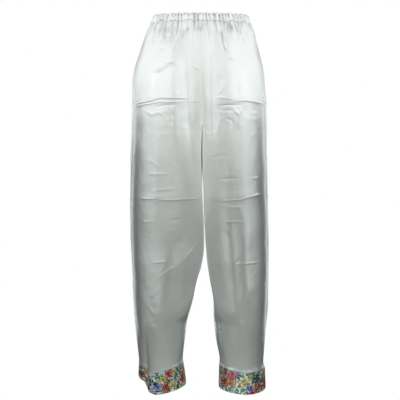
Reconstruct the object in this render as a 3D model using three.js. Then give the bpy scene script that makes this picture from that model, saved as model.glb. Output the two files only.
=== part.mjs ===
// Pyjama trousers: satin, drawn in by an elastic waist casing, with two tapering legs and a printed band at
// each hem. They hang open and hollow, as they do when they are worn. Millimetres, +Z up, the front faces -Y.
// The origin is the centre of the waist casing, where the wearer's waist holds them up.
// "Right" and "left" are the wearer's: the right leg is on -X.
import * as THREE from "three";

// Driving sizes
const CLOTH = 1.4; // wall of the satin panels, both turnings and ease counted
const BAND_CLOTH = 2.0; // wall of the doubled hem bands
const CASING_CLOTH = 2.4; // wall of the casing: two layers of satin with the elastic between them
const SEAM_GAP = 0.3; // clear space between two pieces along a seam
const CASING_HEIGHT = 20;
const BAND_HEIGHT = 56;
const CROTCH = -283; // height of the crotch point
const SECTION_POWER = 2.2; // 2 would make each section an ellipse, and more makes it squarer

// The waist dips at the front: its rise for each mm towards the back, and the height where that has died away
const WAIST_TILT = { rise: 0.105, end: -215, fade: 200 };

// How the body's one section parts into the legs' two, over a height above the crotch. The ease is how softly
// that ends at the crotch, as a share of the height, and the fade is how soon it has begun below the casing.
const VALLEY = { height: 300, ease: 0.1, fade: 70 };

// The legs hang side by side for a stretch below the crotch, this far apart
const INSIDE_LEG = { gap: 1.8, end: -560, fade: 60 };

// Outline in sections, from the waist edge down: the outer and inner edge of each leg seen from the front,
// and how far the front and the back stand from the centre plane. Above the crotch the inner edges are the
// centre seams.
const SECTIONS = [
  { z: 30, rightOut: -113, rightIn: 0, leftIn: 0, leftOut: 114, front: -82, back: 84 },
  { z: 16, rightOut: -118, rightIn: 0, leftIn: 0, leftOut: 120, front: -86, back: 88 },
  { z: -4, rightOut: -125.5, rightIn: 1, leftIn: 1, leftOut: 129.5, front: -92, back: 95 },
  { z: -24, rightOut: -136, rightIn: 2, leftIn: 2, leftOut: 139.5, front: -98, back: 104 },
  { z: -49, rightOut: -146, rightIn: 3, leftIn: 3, leftOut: 147, front: -104, back: 113 },
  { z: -89, rightOut: -158.5, rightIn: 5, leftIn: 5, leftOut: 156, front: -110, back: 124 },
  { z: -129, rightOut: -171, rightIn: 6, leftIn: 6, leftOut: 165, front: -115, back: 132 },
  { z: -169, rightOut: -177, rightIn: 6, leftIn: 6, leftOut: 170, front: -117, back: 136 },
  { z: -216, rightOut: -178.5, rightIn: 6, leftIn: 6, leftOut: 174.5, front: -117, back: 136.5 },
  { z: -283, rightOut: -181, rightIn: 6, leftIn: 6, leftOut: 177, front: -115, back: 131.5 },
  { z: -367, rightOut: -184.5, rightIn: 5, leftIn: 7, leftOut: 178, front: -111, back: 122 },
  { z: -447, rightOut: -186, rightIn: 6, leftIn: 9, leftOut: 179, front: -106, back: 112 },
  { z: -526, rightOut: -185.5, rightIn: 9.5, leftIn: 11, leftOut: 181, front: -100, back: 103 },
  { z: -604, rightOut: -183, rightIn: 10, leftIn: 15.5, leftOut: 182, front: -93, back: 94 },
  { z: -645, rightOut: -181, rightIn: 4, leftIn: 19.5, leftOut: 182, front: -90, back: 91 },
  { z: -685, rightOut: -178.5, rightIn: -8, leftIn: 25.5, leftOut: 181.5, front: -86, back: 88 },
  { z: -738, rightOut: -177, rightIn: -18.5, leftIn: 34.5, leftOut: 180.5, front: -81, back: 84 },
  { z: -791, rightOut: -173, rightIn: -32, leftIn: 36, leftOut: 177, front: -75, back: 79 },
  { z: -844, rightOut: -167.5, rightIn: -39.5, leftIn: 42, leftOut: 172, front: -69, back: 73 },
  { z: -897, rightOut: -161.5, rightIn: -45.5, leftIn: 52, leftOut: 168, front: -63, back: 67 },
  { z: -924, rightOut: -161.5, rightIn: -41.5, leftIn: 51, leftOut: 171, front: -62, back: 66 },
  { z: -984, rightOut: -163, rightIn: -36, leftIn: 50, leftOut: 173, front: -63, back: 68 },
];

// Where the seams run round a leg, in degrees towards the front from its outer and its inner edge.
const SEAM_LINES = [
  { z: 30, rightSide: 8, leftSide: 8, rightInside: 0, leftInside: 0 },
  { z: -94, rightSide: 20, leftSide: 20, rightInside: 0, leftInside: 0 },
  { z: -216, rightSide: 26, leftSide: 26, rightInside: 0, leftInside: 0 },
  { z: -283, rightSide: 26, leftSide: 26, rightInside: 0, leftInside: 0 },
  { z: -394, rightSide: 24, leftSide: 24, rightInside: 10, leftInside: 2 },
  { z: -526, rightSide: 21, leftSide: 21, rightInside: 30, leftInside: 4 },
  { z: -684, rightSide: 18, leftSide: 18, rightInside: 31, leftInside: 12 },
  { z: -794, rightSide: 15, leftSide: 15, rightInside: 25, leftInside: 38 },
  { z: -984, rightSide: 12, leftSide: 12, rightInside: 24, leftInside: 32 },
];

// The bands tilt with the legs: height of the seam above the band, how much higher it is at the outer edge
// and at the front, and how much higher the hem is at the outer edge. The leg starts to tilt a little above.
const BAND_TILT = { start: -740, fade: 160 };
const BANDS = {
  right: { seam: -908, outerRise: 2, frontRise: -12, hemOuterRise: 9 },
  left: { seam: -916, outerRise: -1.5, frontRise: -8, hemOuterRise: 2 },
};

// The largest folds. Each is highest half way between two places and dies away past them, and a negative
// height makes a hollow. A front or back fold is placed by x and z, and a side fold by y and z.
const FOLDS = [
  { face: "front", from: [-5, 20], to: [0, -110], halfWidth: 26, height: 4 },
  { face: "front", from: [50, 14], to: [62, -96], halfWidth: 9, height: -6 },
  { face: "front", from: [66, 16], to: [86, -80], halfWidth: 11, height: 5 },
  { face: "front", from: [102, 14], to: [126, -74], halfWidth: 8, height: -5 },
  { face: "front", from: [-30, 12], to: [-48, -66], halfWidth: 9, height: -4 },
  { face: "front", from: [-84, 14], to: [-104, -84], halfWidth: 11, height: 4 },
  { face: "front", from: [-70, -30], to: [-64, -340], halfWidth: 26, height: 5 },
  { face: "front", from: [66, -40], to: [80, -330], halfWidth: 28, height: 4.5 },
  { face: "front", from: [-38, -80], to: [-24, -330], halfWidth: 16, height: -5 },
  { face: "front", from: [26, -90], to: [32, -330], halfWidth: 15, height: -4.5 },
  { face: "front", from: [-176, -222], to: [-14, -218], halfWidth: 24, height: 1.6 },
  { face: "front", from: [26, -224], to: [170, -220], halfWidth: 24, height: 1.6 },
  { face: "front", from: [-165, -472], to: [-18, -470], halfWidth: 16, height: 1.4 },
  { face: "front", from: [40, -472], to: [170, -462], halfWidth: 16, height: 1.4 },
  { face: "front", from: [-6, -580], to: [-130, -730], halfWidth: 22, height: 4 },
  { face: "front", from: [-16, -530], to: [-96, -670], halfWidth: 18, height: -4 },
  { face: "front", from: [70, -420], to: [78, -680], halfWidth: 24, height: -4 },
  { face: "front", from: [112, -400], to: [128, -930], halfWidth: 22, height: 4 },
  { face: "front", from: [84, -600], to: [98, -940], halfWidth: 18, height: -4 },
  { face: "front", from: [-92, -640], to: [-114, -930], halfWidth: 20, height: 3.5 },
  { face: "front", from: [-141, -866], to: [-143, -1060], halfWidth: 9, height: -10 },
  { face: "back", from: [-70, -20], to: [-92, -260], halfWidth: 24, height: 5 },
  { face: "back", from: [64, -16], to: [84, -270], halfWidth: 24, height: 5 },
  { face: "back", from: [-30, -40], to: [-38, -230], halfWidth: 16, height: -5 },
  { face: "back", from: [34, -40], to: [44, -220], halfWidth: 16, height: -5 },
  { face: "back", from: [-22, -286], to: [-120, -400], halfWidth: 20, height: 5 },
  { face: "back", from: [28, -286], to: [122, -390], halfWidth: 20, height: 5 },
  { face: "back", from: [-60, -420], to: [-86, -740], halfWidth: 24, height: -4.5 },
  { face: "back", from: [112, -410], to: [104, -740], halfWidth: 24, height: -4.5 },
  { face: "back", from: [-172, -220], to: [170, -222], halfWidth: 24, height: 1.2 },
  { face: "back", from: [-130, -580], to: [-106, -900], halfWidth: 20, height: 4 },
  { face: "back", from: [134, -560], to: [110, -920], halfWidth: 20, height: 4 },
  { face: "rightSide", from: [10, -20], to: [20, -320], halfWidth: 22, height: 4 },
  { face: "rightSide", from: [40, -340], to: [30, -820], halfWidth: 22, height: -4 },
  { face: "leftSide", from: [12, -20], to: [26, -320], halfWidth: 22, height: 4 },
  { face: "leftSide", from: [44, -350], to: [34, -840], halfWidth: 22, height: -4 },
];

// The gathers under the casing: how many each panel has, their depth and their length down the cloth.
// They are uneven: they drift along the panel, and their depth and length change from one to the next.
const GATHER_COUNT = { front: 12, back: 14 };
const GATHERS = { depth: 2.2, length: 46, drift: 0.25, driftWaves: 3 };
const UNEVEN_DEPTH = { share: 0.25, pace: 0.37, start: 1.3 };
const UNEVEN_LENGTH = { share: 0.45, pace: 0.29, shortest: 0.7 };

// The casing's rows from its top edge down: how far up it each is, how far it stands out, and its thickness
const CASING_ROWS = [
  { up: 1, proud: 0, wall: 1 },
  { up: 0.75, proud: 1.1, wall: 1.23 },
  { up: 0.35, proud: 1.4, wall: 1.29 },
  { up: 0, proud: 0, wall: 1 },
];
const CASING_GATHERS = 0.75; // their depth on the casing, against the panels below it

// The bands' rows, from the seam down: how far each is down the band, and how far it stands out from the leg
const BAND_COLUMNS = 56;
const BAND_ROWS = [
  { down: 0, proud: 0.8 },
  { down: 0.12, proud: 1.6 },
  { down: 0.45, proud: 2.2 },
  { down: 0.85, proud: 2.4 },
  { down: 1, proud: 1.8 },
];

// Rows of a panel, in stretches from the casing down. A crowd over 1 brings the rows together at the top of
// the stretch, and under 1 at its bottom. Where the gathers are, the columns are counted for each gather.
const LEG_COLUMNS = 14;
const STRETCHES = [
  { to: -52, rows: 3, crowd: 1.3, columnsPerGather: 4 },
  { to: -98, rows: 2, crowd: 1, columnsPerGather: 2 },
  { to: CROTCH + 48, rows: 5, crowd: 1, columnsPerGather: 0 },
  { to: CROTCH, rows: 5, crowd: 0.5, columnsPerGather: 0 },
  { to: -422, rows: 4, crowd: 1, columnsPerGather: 0 },
  { to: -500, rows: 3, crowd: 1, columnsPerGather: 0 },
  { to: "seam", rows: 12, crowd: 1, columnsPerGather: 0 },
];

const DEGREE = Math.PI / 180;
const SAMPLES = 360; // points along a section, from which its even steps are taken
const TANGENT_REACH = 3; // how many of them to each side give a place its direction
const FOLD_ENDS = 1.2; // how fast a fold dies away from its middle
const FOLD_TURN = 2.2; // how fast it comes in where the cloth turns to face its way
const FOLDS_START = { level: -12, fade: 30 }; // the cloth is held still by the casing above this

// How much the cloth faces each way, from the direction out of it
const FACING = {
  front: (out) => Math.max(0, -out[1]),
  back: (out) => Math.max(0, out[1]),
  rightSide: (out) => Math.max(0, -out[0]),
  leftSide: (out) => Math.max(0, out[0]),
};

// A table's column at a height, on a smooth curve through its rows.
function columnAt(table, name, z) {
  const last = table.length - 1;
  let i = 0;
  while (i < last - 1 && z < table[i + 1].z) i++;
  const slopeAt = (k) => {
    const a = table[Math.max(0, k - 1)];
    const b = table[Math.min(last, k + 1)];
    return (b[name] - a[name]) / (b.z - a.z);
  };
  const a = table[i];
  const b = table[i + 1];
  const run = b.z - a.z;
  const u = Math.min(1, Math.max(0, (z - a.z) / run));
  return (
    a[name] * (1 + 2 * u) * (1 - u) ** 2 +
    slopeAt(i) * run * u * (1 - u) ** 2 +
    b[name] * u * u * (3 - 2 * u) +
    slopeAt(i + 1) * run * u * u * (u - 1)
  );
}

const smooth = (u) => {
  const v = Math.min(1, Math.max(0, u));
  return v * v * (3 - 2 * v);
};

// How far the section has changed from half a body, 0, to a whole leg, 1. It is 0 all over the casing.
function legShare(z) {
  const above = Math.max(0, (z - CROTCH) / VALLEY.height);
  const share = 1 - (above * above) / (above + VALLEY.ease);
  return share * smooth((-CASING_HEIGHT / 2 - z) / VALLEY.fade);
}

// One leg's section at a height: its centre, half sizes, and the angles at which the cloth starts and ends.
// Angles run from the outer edge, 0, over the front, 90 degrees, to the inner edge, 180.
function sectionAt(leg, z) {
  const side = leg === "right" ? -1 : 1;
  const out = columnAt(SECTIONS, leg + "Out", z);
  const seam = columnAt(SECTIONS, leg + "In", z) + (side * SEAM_GAP) / 2;
  const share = legShare(z);
  const apart = smooth((CROTCH - z) / INSIDE_LEG.fade) * smooth((z - INSIDE_LEG.end) / INSIDE_LEG.fade);
  const inner = seam + (side * INSIDE_LEG.gap * apart) / 2;
  const centre = inner + (share * (out - inner)) / 2;
  const halfWidth = Math.abs(out - centre);
  const front = columnAt(SECTIONS, "front", z);
  const back = columnAt(SECTIONS, "back", z);
  const cut = Math.acos(-Math.pow(share / (2 - share), SECTION_POWER / 2));
  const inside = columnAt(SEAM_LINES, leg + "Inside", z) * DEGREE;
  return {
    side,
    inner,
    insideInset: share < 1 ? 0 : SEAM_GAP / 2,
    centre,
    halfWidth,
    middle: (front + back) / 2,
    halfDepth: (back - front) / 2,
    frontEnd: cut - inside,
    sideSeam: columnAt(SEAM_LINES, leg + "Side", z) * DEGREE,
    backEnd: -cut - inside,
  };
}

const power = (v) => Math.sign(v) * Math.pow(Math.abs(v), 2 / SECTION_POWER);

function sectionPoint(s, angle) {
  return [
    s.centre + s.side * s.halfWidth * power(Math.cos(angle)),
    s.middle - s.halfDepth * power(Math.sin(angle)),
  ];
}

// Points at even steps of length along a section between two angles, each with the way out of the cloth.
// The insets leave its two ends clear of the next piece.
function sectionRow(s, from, to, steps, insets = [0, 0]) {
  const line = [sectionPoint(s, from)];
  const along = [0];
  for (let i = 1; i <= SAMPLES; i++) {
    line.push(sectionPoint(s, from + ((to - from) * i) / SAMPLES));
    along.push(along[i - 1] + Math.hypot(line[i][0] - line[i - 1][0], line[i][1] - line[i - 1][1]));
  }
  const total = along[SAMPLES] - insets[0] - insets[1];
  const turn = to > from ? s.side : -s.side;
  const row = [];
  let k = 1;
  for (let i = 0; i <= steps; i++) {
    const at = insets[0] + (total * i) / steps;
    while (k < SAMPLES && along[k] < at) k++;
    const u = (at - along[k - 1]) / (along[k] - along[k - 1]);
    const a = line[Math.max(0, k - TANGENT_REACH)];
    const b = line[Math.min(SAMPLES, k + TANGENT_REACH - 1)];
    const length = Math.hypot(b[0] - a[0], b[1] - a[1]);
    row.push({
      x: line[k - 1][0] + u * (line[k][0] - line[k - 1][0]),
      y: line[k - 1][1] + u * (line[k][1] - line[k - 1][1]),
      normal: [(-turn * (b[1] - a[1])) / length, (turn * (b[0] - a[0])) / length],
      across: i / steps,
    });
  }
  return row;
}

// How far one fold lifts the cloth at a place.
function foldHeight(leg, fold, x, y, z, normal) {
  if (fold.face.endsWith("Side") && fold.face !== leg + "Side") return 0;
  const facing = FACING[fold.face](normal);
  const p = fold.face.endsWith("Side") ? y : x;
  const run = [fold.to[0] - fold.from[0], fold.to[1] - fold.from[1]];
  const length = Math.hypot(...run);
  const dp = p - fold.from[0];
  const dz = z - fold.from[1];
  const fromMiddle = (2 * (dp * run[0] + dz * run[1])) / (length * length) - 1;
  const off = Math.abs(dp * run[1] - dz * run[0]) / length;
  const profile = 1 / (1 + (off / fold.halfWidth) ** 2) ** 2;
  return fold.height * profile * Math.exp(-FOLD_ENDS * fromMiddle ** 2) * smooth(facing * FOLD_TURN);
}

// The wave of the gathers at a share of the way across a panel and a depth below the casing. It is still at
// the panel's two edges.
function gatherHeight(across, count, below) {
  const drift = across + (GATHERS.drift / count) * Math.sin(2 * Math.PI * across * GATHERS.driftWaves);
  const phase = 2 * Math.PI * count * drift;
  const depth = 1 + UNEVEN_DEPTH.share * (Math.sin(phase * UNEVEN_DEPTH.pace + UNEVEN_DEPTH.start) - 1);
  const length = UNEVEN_LENGTH.shortest + UNEVEN_LENGTH.share * Math.sin(phase * UNEVEN_LENGTH.pace + count);
  const fade = Math.exp(-((below / (GATHERS.length * length)) ** 2));
  return GATHERS.depth * depth * fade * Math.sin(phase);
}

// The height of a section's point: the waist dips at the front, and the hem follows its band.
function heightOf(leg, s, x, y, level) {
  const waist = smooth((level - WAIST_TILT.end) / WAIST_TILT.fade);
  const hem = smooth((BAND_TILT.start - level) / BAND_TILT.fade);
  const cos = (s.side * (x - s.centre)) / s.halfWidth;
  const sin = (s.middle - y) / s.halfDepth;
  const band = BANDS[leg];
  const down = smooth((band.seam - level) / BAND_HEIGHT);
  const outerRise = band.outerRise + (band.hemOuterRise - band.outerRise) * down;
  return level + waist * WAIST_TILT.rise * y + hem * (outerRise * cos + band.frontRise * sin);
}

// A point of the cloth's outer and inner face at one place of a row.
function clothPoint(leg, s, place, level, wall, wave) {
  const { x, y, normal } = place;
  const z = heightOf(leg, s, x, y, level);
  let lift = wave;
  const free = smooth((FOLDS_START.level - level) / FOLDS_START.fade);
  for (const fold of FOLDS) lift += free * foldHeight(leg, fold, x, y, z, normal);
  const put = (out) => {
    const px = x + out * normal[0];
    return [s.side * Math.max(s.side * px, s.side * s.inner), y + out * normal[1], z];
  };
  return { outer: put(lift), inner: put(lift - wall) };
}

// How far down its stretch a row is, from its place in the count.
const crowded = (u, crowd) => (crowd < 1 ? 1 - (1 - u) ** (1 / crowd) : u ** crowd);

// The level and the number of columns of each of a panel's rows, from the casing to the band.
function panelRows(leg, gathers) {
  const top = -(CASING_HEIGHT + SEAM_GAP) / 2;
  const rows = [{ level: top, columns: gathers * STRETCHES[0].columnsPerGather }];
  let from = top;
  for (const stretch of STRETCHES) {
    const to = stretch.to === "seam" ? BANDS[leg].seam + SEAM_GAP / 2 : stretch.to;
    const columns = gathers * stretch.columnsPerGather || LEG_COLUMNS;
    for (let i = 1; i <= stretch.rows; i++) {
      rows.push({ level: from + (to - from) * crowded(i / stretch.rows, stretch.crowd), columns });
    }
    from = to;
  }
  return rows;
}

// Triangles between two rows of points that run from 0 to 1 and may differ in number.
function stitchRows(faces, a, b) {
  let i = 0;
  let j = 0;
  while (i < a.length - 1 || j < b.length - 1) {
    const nextA = (i + 1) / (a.length - 1);
    const nextB = (j + 1) / (b.length - 1);
    if (j === b.length - 1 || (i < a.length - 1 && nextA <= nextB)) {
      faces.push([a[i], b[j], a[i + 1]]);
      i++;
    } else {
      faces.push([a[i], b[j], b[j + 1]]);
      j++;
    }
  }
}

// A closed geometry from points and faces, turned so that its faces point out.
function geometryOf(points, faces) {
  let volume = 0;
  for (const face of faces) {
    const [p, q, r] = face.map((i) => new THREE.Vector3(...points[i]));
    volume += p.dot(q.cross(r));
  }
  const turned = volume < 0 ? faces.map(([a, b, c]) => [a, c, b]) : faces;
  const geometry = new THREE.BufferGeometry();
  geometry.setAttribute("position", new THREE.Float32BufferAttribute(points.flat(), 3));
  geometry.setIndex(turned.flat());
  geometry.computeVertexNormals();
  return geometry;
}

// A wall between an outer and an inner face, both given as rows of points. A ring's rows join end to end.
function wallGeometry(rows, isRing) {
  const points = [];
  const keep = (p) => points.push(p) - 1;
  const numbered = rows.map((row) => {
    const outer = row.map((c) => keep(c.outer));
    const inner = row.map((c) => keep(c.inner));
    return isRing ? { outer: [...outer, outer[0]], inner: [...inner, inner[0]] } : { outer, inner };
  });
  const faces = [];
  const flip = (list) => list.map(([a, b, c]) => [a, c, b]);
  for (let i = 0; i + 1 < numbered.length; i++) {
    stitchRows(faces, numbered[i].outer, numbered[i + 1].outer);
    const back = [];
    stitchRows(back, numbered[i].inner, numbered[i + 1].inner);
    faces.push(...flip(back));
    if (isRing) continue;
    const [a, b] = [numbered[i], numbered[i + 1]];
    const last = (list) => list[list.length - 1];
    faces.push([a.outer[0], a.inner[0], b.outer[0]], [a.inner[0], b.inner[0], b.outer[0]]);
    faces.push([last(a.outer), last(b.outer), last(a.inner)], [last(a.inner), last(b.outer), last(b.inner)]);
  }
  const first = numbered[0];
  const end = numbered[numbered.length - 1];
  stitchRows(faces, first.inner, first.outer);
  stitchRows(faces, end.outer, end.inner);
  return geometryOf(points, faces);
}

// One front or back panel, from its centre seam or inside seam to its side seam.
function panel(leg, face) {
  const gathers = GATHER_COUNT[face];
  const rows = panelRows(leg, gathers).map(({ level, columns }) => {
    const s = sectionAt(leg, level);
    const insets = [SEAM_GAP / 2, s.insideInset];
    return sectionRow(s, s.sideSeam, s[face + "End"], columns, insets).map((place) => {
      const wave = gatherHeight(place.across, gathers, -CASING_HEIGHT / 2 - level);
      return clothPoint(leg, s, place, level, CLOTH, wave);
    });
  });
  return wallGeometry(rows, false);
}

// The casing, all round the waist, with the same gathers as the panels below it.
function casing() {
  const quarters = [
    { leg: "right", face: "front", towardsSide: false },
    { leg: "left", face: "front", towardsSide: true },
    { leg: "left", face: "back", towardsSide: false },
    { leg: "right", face: "back", towardsSide: true },
  ];
  const rows = CASING_ROWS.map((row) =>
    quarters.flatMap(({ leg, face, towardsSide }) => {
      const level = (SEAM_GAP - CASING_HEIGHT) / 2 + (CASING_HEIGHT - SEAM_GAP / 2) * row.up;
      const s = sectionAt(leg, level);
      const gathers = GATHER_COUNT[face];
      const columns = gathers * STRETCHES[0].columnsPerGather;
      const points = sectionRow(s, s.sideSeam, s[face + "End"], columns).map((place) => {
        const wave = row.proud + CASING_GATHERS * gatherHeight(place.across, gathers, 0);
        return clothPoint(leg, s, place, level, CASING_CLOTH * row.wall, wave);
      });
      return (towardsSide ? points.reverse() : points).slice(0, -1);
    }),
  );
  return wallGeometry(rows, true);
}

// The doubled band at a hem, all round the leg. It stands a little proud of the leg above it.
function hemBand(leg) {
  const rows = BAND_ROWS.map((row) => {
    const level = BANDS[leg].seam - SEAM_GAP / 2 - BAND_HEIGHT * row.down;
    const s = sectionAt(leg, level);
    return sectionRow(s, s.frontEnd, s.frontEnd - 2 * Math.PI, BAND_COLUMNS)
      .slice(0, -1)
      .map((place) => clothPoint(leg, s, place, level, BAND_CLOTH, row.proud));
  });
  return wallGeometry(rows, true);
}

const satin = new THREE.MeshStandardMaterial({ color: 0xe9ecea, roughness: 0.38, metalness: 0 });
const casingSatin = new THREE.MeshStandardMaterial({ color: 0xe6e9e6, roughness: 0.42, metalness: 0 });
const printedSatin = new THREE.MeshStandardMaterial({ color: 0xb9826a, roughness: 0.5, metalness: 0 });

const trousers = new THREE.Group();
function add(name, geometry, material) {
  const mesh = new THREE.Mesh(geometry, material);
  mesh.name = name;
  trousers.add(mesh);
}

add("waist_casing", casing(), casingSatin);
for (const leg of ["right", "left"]) {
  add("front_" + leg, panel(leg, "front"), satin);
  add("back_" + leg, panel(leg, "back"), satin);
  add("hem_band_" + leg, hemBand(leg), printedSatin);
}

export default trousers;
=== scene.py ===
# Pyjama trousers in white satin, filled out and hollow: a gathered elastic waist, two front and two back
# panels, and a doubled printed band at each hem. The tables are in millimetres, the meshes in metres. +Z is
# up, the front faces -Y, and "right" and "left" are the wearer's, so the right leg is on -X.
import math

import bpy
import numpy as np
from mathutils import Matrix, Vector


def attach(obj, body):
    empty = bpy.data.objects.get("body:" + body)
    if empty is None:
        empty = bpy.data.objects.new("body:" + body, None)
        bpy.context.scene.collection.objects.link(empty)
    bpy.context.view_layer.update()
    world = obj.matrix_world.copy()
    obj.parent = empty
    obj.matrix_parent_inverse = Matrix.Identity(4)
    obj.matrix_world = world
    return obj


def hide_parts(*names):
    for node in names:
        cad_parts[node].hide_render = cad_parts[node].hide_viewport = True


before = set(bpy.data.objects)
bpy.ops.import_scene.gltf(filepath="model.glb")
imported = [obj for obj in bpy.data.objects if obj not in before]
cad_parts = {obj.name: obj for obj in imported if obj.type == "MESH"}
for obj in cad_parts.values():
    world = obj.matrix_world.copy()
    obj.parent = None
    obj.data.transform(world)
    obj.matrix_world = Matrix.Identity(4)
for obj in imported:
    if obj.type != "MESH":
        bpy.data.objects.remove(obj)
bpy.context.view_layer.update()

# The studio. The trousers stand before white paper on a pale floor, seen level from in front. Soft lights
# hang before the waist and the legs, a wide spot at each side whitens the hips, and a low light the hems.
CAMERA_PLACE = (0.0, -2.45, -0.4776)
CAMERA_LENS = 83.2
CAMERA_REACH = 60
SENSOR = 36.0
PAPER_WHITE = (1.0, 1.0, 1.0, 1.0)
FLOOR_LEVEL = -1.02
FLOOR_SIZE = 1.6
FLOOR_GREY = (0.42, 0.43, 0.42, 1.0)
HIP_SPOT = {"cone": 27, "blend": 0.5, "radius": 0.12, "watts": 26, "colour": (1.0, 0.97, 0.985)}
LIGHTS = {
    "top_light": {"place": (0.0, -0.85, -0.06), "aim": (0.0, 0.0, -0.06), "size": (1.5, 0.3), "watts": 3.2,
                  "colour": (1.0, 0.85, 0.92)},
    "low_light": {"place": (0.0, -1.1, -0.45), "aim": (0.0, 0.0, -0.45), "size": (0.15, 0.7), "watts": 3.0,
                  "colour": (0.98, 1.0, 0.94)},
    "right_light": {"place": (-0.95, -0.55, 0.1), "aim": (-0.1, -0.06, -0.11), **HIP_SPOT},
    "left_light": {"place": (0.95, -0.55, 0.1), "aim": (0.1, -0.06, -0.13), **HIP_SPOT},
    "hem_light": {"place": (0.0, -0.18, -1.01), "aim": (0.0, -0.08, -0.965), "size": (0.5, 0.04),
                  "watts": 0.15, "colour": PAPER_WHITE[:3]},
}

scene = bpy.context.scene
scene.view_settings.view_transform = "Standard"
scene.view_settings.look = "None"

camera_data = bpy.data.cameras.new("camera")
camera_data.lens = CAMERA_LENS
camera_data.sensor_width = SENSOR
camera_data.clip_end = CAMERA_REACH
camera = bpy.data.objects.new("camera", camera_data)
camera.location = CAMERA_PLACE
camera.rotation_euler = (math.pi / 2, 0, 0)
scene.collection.objects.link(camera)
scene.camera = camera

# The cloth's own white sees these lights, and its sheen sees the room further down instead.
for name, light in LIGHTS.items():
    if "cone" in light:
        data = bpy.data.lights.new(name, "SPOT")
        data.spot_size = math.radians(light["cone"])
        data.spot_blend = light["blend"]
        data.shadow_soft_size = light["radius"]
    else:
        data = bpy.data.lights.new(name, "AREA")
        data.shape = "RECTANGLE"
        data.size, data.size_y = light["size"]
    data.energy = light["watts"]
    data.color = light["colour"]
    lamp = bpy.data.objects.new(name, data)
    lamp.location = light["place"]
    lamp.visible_camera = False
    lamp.visible_glossy = False
    beam = Vector(light["aim"]) - Vector(light["place"])
    lamp.rotation_euler = beam.to_track_quat("-Z", "Y").to_euler()
    scene.collection.objects.link(lamp)


# Nodes for a material or a world: each call adds one node, sets its named inputs and returns it.
class NodeTable:
    def __init__(self, tree):
        self.tree = tree

    def add(self, kind, settings=None, **inputs):
        node = self.tree.nodes.new(kind)
        for key, value in (settings or {}).items():
            setattr(node, key, value)
        for key, value in inputs.items():
            self.feed(node, key.replace("_", " "), value)
        return node

    def feed(self, node, key, value):
        socket = node.inputs[int(key)] if key.isdigit() else node.inputs[key]
        if isinstance(value, bpy.types.NodeSocket):
            self.tree.links.new(value, socket)
        else:
            socket.default_value = value

    def math(self, operation, *values):
        node = self.tree.nodes.new("ShaderNodeMath")
        node.operation = operation
        for i, value in enumerate(values):
            self.feed(node, str(i), value)
        return node.outputs[0]

    def vector(self, operation, *values):
        node = self.tree.nodes.new("ShaderNodeVectorMath")
        node.operation = operation
        for i, value in enumerate(values):
            self.feed(node, str(i), value)
        return node

    def between(self, value, low, high, out_low=0.0, out_high=1.0):
        node = self.tree.nodes.new("ShaderNodeMapRange")
        node.interpolation_type = "SMOOTHSTEP"
        for i, item in enumerate((value, low, high, out_low, out_high)):
            self.feed(node, str(i), item)
        return node.outputs[0]

    def mix(self, share, a, b):
        node = self.tree.nodes.new("ShaderNodeMix")
        node.data_type = "RGBA"
        for i, item in ((0, share), (6, a), (7, b)):
            self.feed(node, str(i), item)
        return node.outputs[2]

    # White to the camera, and the other surface to everything else.
    def white_to_camera(self, surface, white):
        both = self.add("ShaderNodeMixShader")
        self.feed(both, "0", self.add("ShaderNodeLightPath").outputs["Is Camera Ray"])
        self.feed(both, "1", surface.outputs[0])
        self.feed(both, "2", white.outputs[0])
        return both.outputs[0]


def new_material(name):
    material = bpy.data.materials.new(name)
    material.use_nodes = True
    material.node_tree.nodes.clear()
    return material, NodeTable(material.node_tree)


# The room's light: white paper behind, dark at the sides, and paler above the front. The sheen sees it with
# more contrast than the cloth's own white does. A pair of numbers is where one shade passes into the next.
SOFT_ROOM = {"centre": 0.02, "low_centre": 0.02, "front": 0.02, "low_front": 0.02, "side": 0.02,
             "behind": 0.2, "high": 0.1, "high_front": 0.1, "gap": 0.1, "behind_high": 0.2,
             "rise": (-0.25, 0.75), "turn": (0.15, 0.5), "high_turn": (0.15, 0.5)}
SHEEN_ROOM = {"centre": 1.0, "low_centre": 0.55, "front": 0.6, "low_front": 0.3, "side": 0.03,
              "behind": 1.2, "high": 1.35, "high_front": 0.95, "gap": 0.1, "behind_high": 0.5,
              "rise": (0.05, 0.2), "turn": (0.5, 0.75), "high_turn": (0.62, 0.9)}
SIDE_SHIFT = {"turn": (-0.9, -0.3), "height": 0.04}
ROOM_TINT = ((0.965, 1.0, 0.99, 1.0), (0.97, 0.95, 0.965, 1.0))
TINT_RISE = (0.04, 0.2)
FRONT_DIP = (0.5, 0.18)
CENTRE_FALL = (-0.32, -0.02)
ASIDE = {"low": -1.0, "high": -0.4, "end": 0.25, "rise": (-0.12, 0.06)}
GAP_RISE = (0.64, 0.8)
GAP_FROM = (0.1, 0.3)

world = bpy.data.worlds.new("studio")
scene.world = world
world.use_nodes = True
world.node_tree.nodes.clear()
room = NodeTable(world.node_tree)
towards = room.add("ShaderNodeSeparateXYZ", Vector=room.add("ShaderNodeTexCoord").outputs["Generated"])
sideways = room.math("ABSOLUTE", towards.outputs["X"])
backwards = towards.outputs["Y"]
upwards = towards.outputs["Z"]


def share_out(share, low, high):
    return room.math("ADD", low, room.math("MULTIPLY", share, room.math("SUBTRACT", high, low)))


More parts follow.
